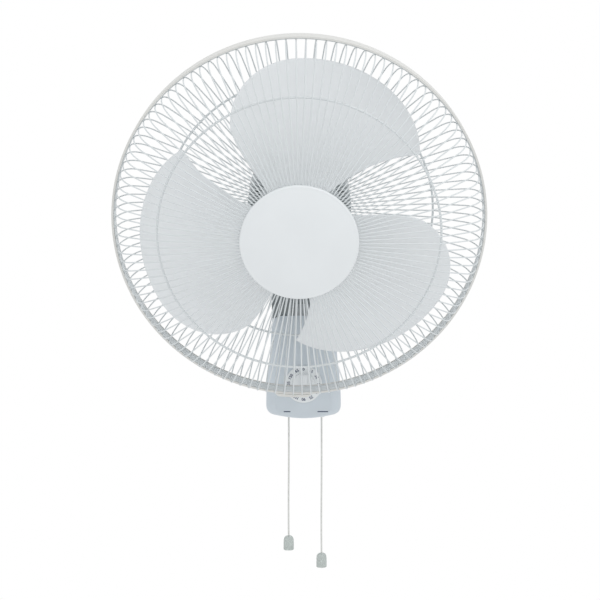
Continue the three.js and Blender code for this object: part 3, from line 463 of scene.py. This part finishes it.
# ---------- Guards ----------
def wires(side, path, plate_radius, plate_depth):
    """Tubes of eight sides along the wires' path, a ring square to the path at each step."""
    bend = bezier(path[:3], np.linspace(0, 1, 15))
    to_hoop = bezier(path[2:], np.linspace(0, 1, 7)[1:])
    to_plate = np.linspace(path[-1], (plate_radius - 2, plate_depth), 6)[1:]
    r, s = np.concatenate([bend, to_hoop, to_plate]).T
    step_r, step_s = np.gradient(r), np.gradient(s)
    size = np.hypot(step_r, step_s)
    around = np.linspace(0, 2 * math.pi, 8, endpoint=False)
    shapes = []
    for i in range(WIRE_COUNT):
        angle = 2 * math.pi * (i + WIRE_PHASE) / WIRE_COUNT
        out = np.array([math.cos(angle), math.sin(angle), 0])
        sideways = np.array([-math.sin(angle), math.cos(angle), 0])
        middle = r[:, None] * out + s[:, None] * [0, 0, 1]
        normal = (-step_s / size)[:, None] * out + (step_r / size)[:, None] * [0, 0, 1]
        ring = (np.cos(around)[None, :, None] * sideways
                + np.sin(around)[None, :, None] * normal[:, None, :])
        points = middle[:, None, :] + WIRE_RADIUS * ring
        points[..., 2] *= side
        shapes.append(grid(on_head(points), caps=True))
    return shapes


def guard(name, side, path, rim_reach, plate, hole, depth, node_name):
    """A rim, a middle plate and the wires between, with side 1 in front and -1 behind."""
    inner_end, outer_end = side * GAP / 2, side * rim_reach
    rim = turned([(RIM_OUTER, inner_end), (RIM_OUTER, outer_end), (RIM_INNER, outer_end),
                  (RIM_INNER, inner_end)], head_axis, 240, 0.6)
    back, front = side * depth - PLATE_HALF, side * depth + PLATE_HALF
    disc = turned([(plate, back), (plate, front), (hole, front), (hole, back)],
                  head_axis, 120, 0.6)
    return add(name, [rim, disc, *wires(side, path, plate, depth)], "swinging_head",
               MATERIALS["coated_wire"], [node_name], 50)


guard("front_wires", 1, FRONT_PATH, FRONT_RIM_REACH, FRONT_PLATE, FRONT_PLATE_HOLE,
      FRONT_PLATE_DEPTH, "front_guard")
guard("rear_wires", -1, REAR_PATH, REAR_RIM_REACH, REAR_PLATE, REAR_PLATE_HOLE,
      REAR_PLATE_DEPTH, "rear_guard")
for name, side, depth in (("front", 1, FRONT_HOOP), ("rear", -1, REAR_HOOP)):
    middle = side * (depth - WIRE_RADIUS - HOOP_WIRE - WELD)
    add(f"{name}_hoop", [turned(
        [(HOOP_RADIUS + HOOP_WIRE * math.cos(a), middle + HOOP_WIRE * math.sin(a))
         for a in np.linspace(0, 2 * math.pi, 12, endpoint=False)], head_axis, 240, 0)],
        "swinging_head", MATERIALS["coated_wire"], [f"{name}_guard_hoop"], 60)

LIP = GUARD_RADIUS - BAND_WALL - BAND_LIP
WALL = GUARD_RADIUS - BAND_WALL
split = GAP / GUARD_RADIUS
add("band", [turned(
    [(GUARD_RADIUS, -BAND_HALF), (GUARD_RADIUS, BAND_HALF), (LIP, BAND_HALF),
     (LIP, BAND_HALF - BAND_LIP), (WALL, BAND_HALF - BAND_LIP), (WALL, BAND_LIP - BAND_HALF),
     (LIP, BAND_LIP - BAND_HALF), (LIP, -BAND_HALF)], head_axis, 300, 0.5, 4,
    CLASP_MIDDLE + split, CLASP_MIDDLE + 2 * math.pi - split)],
    "swinging_head", MATERIALS["band_plastic"], ["guard_band"])


def clasp():
    """A bar bent round the band, whose section thins and narrows by a sine near its ends."""
    inner = GUARD_RADIUS + GAP
    turns = CLASP_MIDDLE + np.linspace(-0.5, 0.5, 41) * CLASP_SPAN
    rows = []
    for k, turn in zip(np.linspace(-1, 1, 41), turns):
        end = np.clip((1 - abs(k)) / CLASP_END, 0, 1)
        rise = CLASP_THICKNESS * (0.25 + 0.75 * math.sin(end * math.pi / 2))
        wide = CLASP_HALF * (0.82 + 0.18 * math.sin(end * math.pi / 2))
        section = rounded([(inner, -wide), (inner + rise, -wide), (inner + rise, wide),
                           (inner, wide)], 1.2, True, 4)
        rows.append(head_axis(section[:, 0], turn, section[:, 1]))
    return grid(np.array(rows), caps=True)


add("clasp", [clasp()], "swinging_head", MATERIALS["band_plastic"], ["guard_clasp"])

# ---------- Cap ----------
edge = CAP_BACK + CAP_EDGE
radii = np.linspace(0, 0.97, 24) * CAP_RADIUS
outer = [(r, edge + CAP_DOME * (1 - (r / CAP_RADIUS) ** 2)) for r in radii]
roll = [(CAP_RADIUS - CAP_ROLL + CAP_ROLL * math.sin(a), edge - 1.2 + CAP_ROLL * math.cos(a))
        for a in np.linspace(0.15, math.pi / 2, 8)]
inner = [(r - CAP_WALL, z - CAP_WALL) for r, z in outer[::-1] if r > 2]
add("cap", [turned(
    outer + roll + [(CAP_RADIUS, CAP_BACK), (CAP_RADIUS - CAP_WALL, CAP_BACK)] + inner
    + [(0, edge + CAP_DOME - CAP_WALL)], head_axis, 160, 0)],
    "swinging_head", MATERIALS["pale_plastic"], ["front_cap"], 50)

# ---------- Blade ----------
HEEL, TOE = (-61.5, 95.0), (110.7, 60.0)
TRAILING = [(-23.9, 25.6), (-36, 42), (-61.5, 78), HEEL]
LEADING = [(24.7, 24.7), (48, 45), (78, 60), TOE]
SHOULDER = [HEEL, (-61.5, 128), (-34, TIP_RADIUS), (0, TIP_RADIUS)]
TIP = [(0, TIP_RADIUS), (65, TIP_RADIUS), (112, 105), TOE]
TIP_SHARE = 0.64  # of the outer edge


def outer_edge(u):
    """The shoulder's curve and then the tip's."""
    first = bezier(SHOULDER, np.clip(u / (1 - TIP_SHARE), 0, 1))
    second = bezier(TIP, np.clip((u - 1 + TIP_SHARE) / TIP_SHARE, 0, 1))
    return np.where((u < 1 - TIP_SHARE)[:, None], first, second)


def root_edge(u):
    """An arc inside the hub's wall."""
    turn = np.radians(ROOT_FROM - ROOT_SWEEP * u)
    return ROOT_RADIUS * np.stack([np.cos(turn), np.sin(turn)], -1)


def blade_depth(x, y):
    """A middle depth, less a power of the radius times the sine of the angle."""
    radius, turn = np.hypot(x, y), np.arctan2(x, y)
    rise = PITCH_RISE * (radius / PITCH_REACH) ** PITCH_POWER
    return PITCH_MIDDLE - rise * np.sin(turn - PITCH_TURN)


def eased(count, fine):
    """From 0 to 1, with extra steps close to each end."""
    return np.concatenate([[0], fine, np.linspace(0.03, 0.97, count), 1 - fine[::-1], [1]])


def petal():
    """The two faces of a blade: its middle surface moved out along its normals.

    The half thickness falls to nothing as a quarter circle at the free edges.
    """
    fine = np.array([0.0008, 0.0025, 0.005, 0.01])
    u, v = eased(44, fine), eased(34, fine)
    low, high = root_edge(u)[:, None], outer_edge(u)[:, None]
    left, right = bezier(TRAILING, v)[None], bezier(LEADING, v)[None]
    a, b = u[:, None, None], v[None, :, None]
    flat = ((1 - b) * low + b * high + (1 - a) * left + a * right
            - (1 - a) * (1 - b) * low[0] - a * (1 - b) * low[-1]
            - (1 - a) * b * high[0] - a * b * high[-1])
    sheet = np.concatenate([flat, blade_depth(flat[..., 0], flat[..., 1])[..., None]], -1)
    du, dv = np.gradient(sheet, axis=0), np.gradient(sheet, axis=1)
    normal = np.cross(du, dv)
    normal /= np.linalg.norm(normal, axis=-1, keepdims=True) + 1e-9
    from_side = np.minimum(a, 1 - a)[..., 0] * BLADE_WIDE
    from_end = (1 - b)[..., 0] * BLADE_LONG
    inset = np.clip(np.minimum(from_side, from_end) / (BLADE_THICKNESS / 2), 0, 1)
    half = BLADE_THICKNESS / 2 * np.sqrt(1 - (1 - inset) ** 2)
    top, under = sheet + normal * half[..., None], sheet - normal * half[..., None]
    return top, under


def petal_shape(turn):
    """A blade turned round the shaft, with its two faces joined along the free edges."""
    top, under = petal()
    nu, nv = top.shape[:2]
    cos, sin = math.cos(turn), math.sin(turn)
    spun = [np.stack([p[..., 0] * cos - p[..., 1] * sin, p[..., 0] * sin + p[..., 1] * cos,
                      p[..., 2]], -1).reshape(-1, 3) for p in (top, under)]
    index = np.arange(nu * nv).reshape(nu, nv)
    rim = np.zeros((nu, nv), bool)
    rim[0], rim[-1], rim[:, -1] = True, True, True
    below = np.where(rim, index, index + nu * nv)
    faces = []
    for table, flip in ((index, 1), (below, -1)):
        quads = np.stack([table[:-1, :-1], table[1:, :-1], table[1:, 1:], table[:-1, 1:]], -1)
        faces.extend(quads.reshape(-1, 4)[:, ::flip].tolist())
    root = [(index[i, 0], index[i + 1, 0], below[i + 1, 0], below[i, 0]) for i in range(nu - 1)]
    for face in root:
        unique = list(dict.fromkeys(int(i) for i in face))
        faces.append(unique[::-1])
    points = np.concatenate(spun)
    used = np.unique(np.concatenate([np.ravel(f) for f in faces]))
    renumber = {int(old): new for new, old in enumerate(used)}
    return facing_out(on_head(points[used]), [[renumber[int(i)] for i in f] for f in faces])


hub = turned(
    [(HUB_BORE, HUB_BACK + 3), (HUB_BOSS, HUB_BACK + 3), (HUB_BOSS, HUB_FRONT - 2.8),
     (HUB_INSIDE, HUB_FRONT - 4.8), (HUB_INSIDE, HUB_BACK), (HUB_RADIUS, HUB_BACK),
     (HUB_RADIUS, HUB_FRONT - 4), (HUB_RADIUS - 4, HUB_FRONT), (HUB_BORE, HUB_FRONT)],
    head_axis, 120, 2.0, 6)
add("blades", [hub, *[petal_shape(2 * math.pi * k / 3) for k in range(3)]], "fan_rotor",
    MATERIALS["blade_plastic"], ["blade"], 50)

# ---------- Blade nut, guard nut ----------


def lobed(radius, lobes, depth, back, front, bore, soft):
    """A ring whose outside swells and shrinks with the cosine of lobes times the angle."""
    profile = rounded([(bore, back), (radius, back), (radius, front), (bore, front)],
                      soft, True, 4)
    turn = np.linspace(0, 2 * math.pi, 240, endpoint=False)[None, :]
    r = profile[:, :1] * (1 + depth * np.cos(lobes * turn) * (profile[:, :1] > bore + 2))
    return grid(head_axis(r, turn, profile[:, 1:]), wrap_u=True)


spinner = lobed(radius=12, lobes=10, depth=0.06, back=11.3, front=21.3, bore=4.3, soft=2.0)
add("spinner_nut", [spinner], "fan_rotor", MATERIALS["pale_plastic"], ["blade_nut"])
ring_nut = lobed(radius=27, lobes=12, depth=0.035, back=-39.4, front=-33.4, bore=17.0, soft=1.0)
add("guard_ring_nut", [ring_nut], "swinging_head", MATERIALS["pale_plastic"], ["guard_nut"])

# ---------- Motor ----------


def slots(radius, length, depth, count):
    """Cutters for a ring of slots that run outward, each a block turned round the shaft."""
    made = []
    for k in range(count):
        turn = 2 * math.pi * k / count
        cos, sin = math.cos(turn), math.sin(turn)

        def spun(p, cos=cos, sin=sin):
            return on_head(np.stack([p[:, 0] * cos - p[:, 1] * sin,
                                     p[:, 0] * sin + p[:, 1] * cos, p[:, 2]], -1))
        made.append(block((radius - length / 2, -SLOT_HALF, depth - SLOT_DEEP),
                          (radius + length / 2, SLOT_HALF, depth + SLOT_DEEP), spun))
    return made


inside = MOTOR_FRONT - MOTOR_WALL
inner_radius = MOTOR_RADIUS - MOTOR_WALL
seat_wall = SEAT_RADIUS + MOTOR_WALL
neck_end = MOTOR_FRONT + MOTOR_NECK_LENGTH
front = turned(
    [(SEAT_BORE, SEAT_FRONT), (SEAT_RADIUS, SEAT_FRONT), (SEAT_RADIUS, inside - 3),
     (seat_wall, inside - 3), (seat_wall, inside), (inner_radius - 3, inside),
     (inner_radius, inside - 3), (inner_radius, MOTOR_SPLIT), (MOTOR_RADIUS, MOTOR_SPLIT),
     (MOTOR_RADIUS, MOTOR_FRONT - MOTOR_EDGE), (MOTOR_RADIUS - MOTOR_EDGE, MOTOR_FRONT),
     (MOTOR_NECK, MOTOR_FRONT), (MOTOR_NECK, neck_end), (SEAT_BORE, neck_end)],
    head_axis, 96, 1.0, 3)
front_slots = slots(radius=41.5, length=8, depth=MOTOR_FRONT, count=16)
add("motor_front", carved("motor_front", [front], [("DIFFERENCE", front_slots)]),
    "swinging_head", MATERIALS["motor_paint"], ["motor_front_housing"])


def tail(shrink, end):
    """A quarter ellipse from the back's straight side in to its flat end."""
    turns = np.linspace(0, math.pi / 2, 14)
    start = MOTOR_SPLIT - GAP - 17
    return [(MOTOR_TAIL - shrink + (MOTOR_RADIUS - MOTOR_TAIL) * math.cos(a),
             start + (end - start) * math.sin(a)) for a in turns]


back = turned(
    [(0, MOTOR_END), *tail(0, MOTOR_END)[::-1], (MOTOR_RADIUS, MOTOR_SPLIT - GAP),
     (inner_radius, MOTOR_SPLIT - GAP), *tail(MOTOR_WALL, MOTOR_END + MOTOR_WALL),
     (0, MOTOR_END + MOTOR_WALL)], head_axis, 96, 0)
back_slots = slots(radius=24, length=10, depth=MOTOR_END, count=8)
add("motor_rear", carved("motor_rear", [back], [("DIFFERENCE", back_slots)]), "swinging_head",
    MATERIALS["motor_paint"], ["motor_rear_housing"], 50)

# ---------- Swing gear and neck ----------
PIN = swing_axis(SWING_X, SWING_Z)
add("swing_pin", [turned([(0, -88.4), (PIN_RADIUS, -88.4), (PIN_RADIUS, -51.8), (0, -51.8)],
                         PIN, 48, 0.8)],
    "swinging_head", MATERIALS["zinc_steel"], ["swivel_pin"])
CRANK = swing_axis(SWING_X + CRANK_X, SWING_Z - CRANK_BEHIND)
add("swing_drive", [turned([(0, -56), (16, -56), (16, -46.8), (0, -46.8)], CRANK, 64, 1.2)],
    "swinging_head", MATERIALS["zinc_steel"], ["swing_motor"])

BOLT_AXIS = across(BOLT[1], BOLT[2])
column = turned([(0, -SWING_TO_BOLT), (16, -SWING_TO_BOLT), (16, -76.1), (22, -70.1), (22, -64.1),
                 (0, -64.1)], PIN, 72, 1.0)
barrel = turned([(0, -BARREL_HALF), (BARREL_RADIUS, -BARREL_HALF), (BARREL_RADIUS, BARREL_HALF),
                 (0, BARREL_HALF)], BOLT_AXIS, 96, 1.4)
stud = turned([(0, -66), (1.8, -66), (1.8, -60.1), (0, -60.1)],
              swing_axis(SWING_X + CRANK_X, SWING_Z), 24, 0.4)
pin_bore = turned([(0, -88.7), (PIN_RADIUS + GAP, -88.7), (PIN_RADIUS + GAP, -40), (0, -40)],
                  PIN, 48, 0)
bolt_bore = turned([(0, -45), (BOLT_HOLE, -45), (BOLT_HOLE, 45), (0, 45)], BOLT_AXIS, 48, 0)
recess = [turned([(0, a), (SCREW_RECESS, a), (SCREW_RECESS, a + 12), (0, a + 12)],
                 BOLT_AXIS, 48, 0)
          for a in (-BARREL_HALF - 7.7, BARREL_HALF - 4.3)]
tongue_slot = block((SWING_X - TONGUE_HALF, -SWING_TO_BOLT - 26, SWING_Z - 26),
                    (SWING_X + TONGUE_HALF, -SWING_TO_BOLT, SWING_Z + 26), on_head)
slot_top = turned([(0, -TONGUE_HALF), (TONGUE_TOP, -TONGUE_HALF), (TONGUE_TOP, TONGUE_HALF),
                   (0, TONGUE_HALF)], BOLT_AXIS, 48, 0)
# The neck's dark grey is painted shade, for the shade under the head
add("neck_casting", carved("neck_casting", [column], [
    ("UNION", [barrel]), ("UNION", [stud]), ("DIFFERENCE", [pin_bore]), ("DIFFERENCE", [bolt_bore]),
    ("DIFFERENCE", recess), ("DIFFERENCE", [tongue_slot]), ("DIFFERENCE", [slot_top])]),
    "tilting_neck", MATERIALS["grey_plastic"], ["neck"])


# ---------- Wall box ----------
def outline(inset, side=0.0):
    """The box seen from the front, drawn in by inset, and by side more at its sides.

    Its sides are straight down to the waist and flare from there in a parabola. Its
    corners and its sagging underside are parabolas too.
    """
    low, top, bottom = BOX_HALF - inset - side, BOX_HALF_TOP - inset - side, BOX_BOTTOM + inset
    corner, middle = BOX_CORNER - inset, BOX_HALF - inset - side - BOX_FLARE
    sag, sag_middle = BOX_SAG * 0.35, BOX_SAG * 1.65
    t = np.linspace(0, 1, 13)[1:]
    right = [np.array([[middle, BOX_WAIST]]),
             bezier([(middle, BOX_WAIST), (low, -45), (low, bottom + corner)], t),
             bezier([(low, bottom + corner), (low, bottom), (low - corner, bottom - sag)], t)]
    right = np.concatenate(right)
    left = right[::-1] * [-1, 1]
    under = bezier([(low - corner, bottom - sag), (0, bottom - sag_middle),
                    (-low + corner, bottom - sag)], np.linspace(0, 1, 25)[1:-1])
    rise = np.linspace(BOX_TOP - inset, BOX_WAIST, 12)[:-1]
    edge = top + (middle - top) * (rise - BOX_TOP + inset) / (BOX_WAIST - BOX_TOP + inset)
    up_right = np.stack([edge, rise], -1)
    up_left = (up_right * [-1, 1])[::-1]
    return np.concatenate([up_right, right, under, left, up_left])


def box_solid(inset, front, back, edge):
    """The outline in slices from the back, drawn in near the front.

    A bevel down each side starts with a square law and goes on as a straight slope, and
    the front edge is a quarter ellipse.
    """
    bevel = front - BOX_BEVEL
    rows = [(d, inset, 0.0) for d in np.linspace(back, bevel - 1, 6)]
    rows += [(bevel - 1 + 2 * t, inset, BEVEL_START * t * t) for t in (0.33, 0.67, 1)]
    slope = (BEVEL_SHARE * BOX_BEVEL - BEVEL_START) / (BOX_BEVEL - 1)
    for a in np.linspace(0, math.pi / 2, 9):
        depth = front - edge + edge * math.sin(a)
        drawn_in = EDGE_SHARE * edge * (1 - math.cos(a))
        rows.append((depth, inset + drawn_in,
                     BEVEL_START + slope * (depth - bevel - 1) + drawn_in))
    points = []
    for depth, shrink, side in rows:
        shape = outline(shrink, side)
        points.append(np.stack([shape[:, 0], np.full(len(shape), -depth), shape[:, 1]], -1))
    return grid(np.array(points), caps=True)


def barrel_space(extra):
    """A cutter round the barrel, extra wider than it."""
    radius = BARREL_RADIUS + extra
    return [turned([(0, -100), (radius, -100), (radius, 100), (0, 100)], BOLT_AXIS, 128, 0)]


def under_hole(radius, x, reach):
    """A cutter up through the box's underside."""
    return turned([(0, BOX_UNDER - 10), (radius, BOX_UNDER - 10), (radius, BOX_UNDER + 10),
                   (0, BOX_UNDER + 10)], upright(x, -reach), 32, 0)


holes = [under_hole(CORD_HOLE, x, CORD_REACH) for x, _ in CORDS.values()]
inlet = under_hole(INLET_HOLE, 0, INLET_REACH)
dial_hole = turned([(0, -6), (4, -6), (4, 6), (0, 6)], outward(0, -BOX_DEPTH, DIAL_HEIGHT), 32, 0)
tongue = block((-TONGUE_HALF, BOLT[1] - 9.6, BOLT[2] - 48),
               (TONGUE_HALF, BOLT[1] + 9.6, BOLT[2]))
pockets = [turned([(0, -6), (5.5, -6), (5.5, 6), (0, 6)], outward(0, -BOX_BACK, z), 32, 0)
           for z in (-32, 32)]
hooks = [block((x - 5, -6.3, -7), (x + 5, -1.3, 7)) for x in (-14, 14)]
hollow = carved("hollow", [box_solid(BOX_WALL, BOX_DEPTH - BOX_WALL, BOX_BACK + BOX_WALL, 2.6)],
                [("DIFFERENCE", barrel_space(3.0))])
for name, lo, hi in (("box_front", -BOX_DEPTH - 50, -BOX_SPLIT - GAP / 2),
                     ("box_rear", -BOX_SPLIT + GAP / 2, 10)):
    shell = carved(name, [box_solid(0, BOX_DEPTH, BOX_BACK, 5)], [
        ("DIFFERENCE", barrel_space(0.6)), ("DIFFERENCE", hollow), ("DIFFERENCE", [tongue]),
        ("DIFFERENCE", holes), ("DIFFERENCE", [inlet]), ("DIFFERENCE", [dial_hole]),
        ("DIFFERENCE", pockets), ("DIFFERENCE", hooks),
        ("INTERSECT", [block((-100, lo, -200), (100, hi, 200))])])
    add(name, shell, "wall_box", MATERIALS["box_plastic"], [f"{name}_cover"], 30)

foot, flange, tube_top = BOX_UNDER - 3.3, BOX_UNDER - GAP, BOX_UNDER + 4.4
add("inlet_bush", [turned(
    [(3, foot), (5.9, foot), (5.9, flange), (4.5, flange), (4.5, tube_top), (3, tube_top)],
    upright(0, -INLET_REACH), 48, 0.6)],
    "wall_box", MATERIALS["grey_plastic"], ["cord_inlet_bush"])

# ---------- Dial ----------
DIAL_BACK = -BOX_DEPTH - GAP
DIAL = outward(0, DIAL_BACK, DIAL_HEIGHT)
skirt = turned([(0, 0), (SKIRT_RADIUS, 0), (SKIRT_RADIUS, SKIRT - 1), (SKIRT_RADIUS - 1.4, SKIRT),
                (0, SKIRT)], DIAL, 120, 0.4)
turn = np.linspace(0, 2 * math.pi, 144, endpoint=False)[None, :]
knob = rounded([(0, SKIRT - 0.5), (GRIP_RADIUS, SKIRT - 0.5), (GRIP_RADIUS - 1, SKIRT + 3),
                (0, SKIRT + 3)], 0.8, False)
knurl = 1 + 0.02 * np.cos(36 * turn) * (knob[:, :1] > GRIP_RADIUS - 2.5)
disc = grid(DIAL(np.maximum(knob[:, :1], 0.02) * knurl, turn, knob[:, 1:]), caps=True)
stem = turned([(0, -2.4), (3, -2.4), (3, 1), (0, 1)], DIAL, 32, 0.2)


def grip_bar():
    """A rounded rectangle carried outward, which shrinks slowly and then fast by a power."""
    rows = []
    for s in np.linspace(SKIRT + 1, SKIRT + GRIP - 0.5, 10):
        k = (s - SKIRT - 1) / (GRIP - 1.5)
        shrink = 0.9 * k ** 6 + 0.5 * k
        half_w, half_l = 3.5 - shrink, GRIP_RADIUS - 1 - shrink
        ring = rounded([(-half_w, -half_l), (half_w, -half_l), (half_w, half_l), (-half_w, half_l)],
                       2.2, True, 6)
        rows.append(np.stack([ring[:, 0], np.full(len(ring), DIAL_BACK - s),
                              DIAL_HEIGHT + ring[:, 1]], -1))
    return grid(np.array(rows), caps=True)


add("dial", [skirt, disc, stem, grip_bar()], "timer_dial", MATERIALS["pale_plastic"],
    ["timer_dial"])

# ---------- Print ----------
FACE = DIAL_BACK - SKIRT
marks = []
for k in range(NUMBER_COUNT):
    text = bpy.data.curves.new("number", "FONT")
    text.body = str(NUMBER_STEP * k)
    text.size = NUMBER_SIZE
    text.offset = NUMBER_WEIGHT
    text.align_x = "CENTER"
    text.align_y = "CENTER"
    text.extrude = PRINT_HEIGHT
    made = bpy.data.objects.new("number", text)
    bpy.context.collection.objects.link(made)
    bpy.context.view_layer.update()
    graph = bpy.context.evaluated_depsgraph_get()
    mesh = bpy.data.meshes.new_from_object(made.evaluated_get(graph))
    p = np.array([v.co[:] for v in mesh.vertices])
    angle = 2 * math.pi * k / NUMBER_COUNT
    x, z = p[:, 0], p[:, 1] + NUMBER_RADIUS
    spot = np.stack([x * math.cos(angle) + z * math.sin(angle), FACE - PRINT_HEIGHT - p[:, 2],
                     DIAL_HEIGHT - x * math.sin(angle) + z * math.cos(angle)], -1)
    marks.append((spot, [list(f.vertices) for f in mesh.polygons]))
    bpy.data.objects.remove(made, do_unlink=True)
add("dial_numbers", marks, "timer_dial", MATERIALS["print"])
ink_front, ink_back = -BOX_DEPTH - 0.06, -BOX_DEPTH + 0.04
add("cord_marks", [block((x0, ink_front, MARK_LOW), (x1, ink_back, MARK_HIGH))
                   for x0, x1 in MARK_SPANS], "wall_box", MATERIALS["print"])

# ---------- Floor, light ----------
FLOOR_HALF, FLOOR_HEIGHT = 6000, -620
corners = np.array([[x * FLOOR_HALF, y * FLOOR_HALF, FLOOR_HEIGHT]
                    for x, y in ((-1, -1), (1, -1), (1, 1), (-1, 1))], float)
floor_mesh = mesh_of("floor", [(corners, [[0, 1, 2, 3]])])
floor = bpy.data.objects.new("floor", floor_mesh)
bpy.context.collection.objects.link(floor)
# The camera sees plain white there, and all other light meets a matt floor
floor_material = bpy.data.materials.new("pale floor")
floor_material.use_nodes = True
floor_mesh.materials.append(floor_material)
tree = floor_material.node_tree
shade = tree.nodes["Principled BSDF"]
shade.inputs["Base Color"].default_value = [*linear("#f4f4f4"), 1]
shade.inputs["Roughness"].default_value = 0.9
glow = node(tree, "ShaderNodeEmission", Color=(1, 1, 1, 1), Strength=1.0)
path = node(tree, "ShaderNodeLightPath")
mix = node(tree, "ShaderNodeMixShader", {"Fac": path.outputs["Is Camera Ray"]})
tree.links.new(shade.outputs[0], mix.inputs[1])
tree.links.new(glow.outputs[0], mix.inputs[2])
tree.links.new(mix.outputs[0], tree.nodes["Material Output"].inputs["Surface"])

# A soft grey light from all round, which the camera sees as white
world = bpy.data.worlds.new("studio")
bpy.context.scene.world = world
world.use_nodes = True
tree = world.node_tree
tree.nodes.clear()
soft = node(tree, "ShaderNodeBackground", Color=(0.97, 0.985, 1, 1), Strength=0.845)
white = node(tree, "ShaderNodeBackground", Color=(1, 1, 1, 1), Strength=1.0)
path = node(tree, "ShaderNodeLightPath")
mix = node(tree, "ShaderNodeMixShader", {"Fac": path.outputs["Is Camera Ray"]})
tree.links.new(soft.outputs[0], mix.inputs[1])
tree.links.new(white.outputs[0], mix.inputs[2])
out = node(tree, "ShaderNodeOutputWorld")
tree.links.new(mix.outputs[0], out.inputs["Surface"])


def softbox(name, place, aim, size, power):
    """An area light in watts at place, turned to face aim, in metres."""
    data = bpy.data.lights.new(name, "AREA")
    data.shape = "RECTANGLE"
    data.size, data.size_y = size
    data.energy = power
    lamp = bpy.data.objects.new(name, data)
    bpy.context.collection.objects.link(lamp)
    place, aim = np.array(place, float), np.array(aim, float)
    lamp.location = place
    way = aim - place
    flat = math.hypot(way[0], way[1])
    lamp.rotation_euler = (math.atan2(flat, -way[2]), 0, math.atan2(-way[0], way[1]))


AIM = (0, -0.1, 0.05)
softbox("key", place=(0.9, -1.5, 1.5), aim=AIM, size=(1.2, 1.2), power=8.5)
softbox("fill", place=(-1.5, -1.6, 0.3), aim=AIM, size=(1.4, 1.4), power=1.5)

view = bpy.context.scene.view_settings
view.view_transform = "Standard"
view.exposure = 0
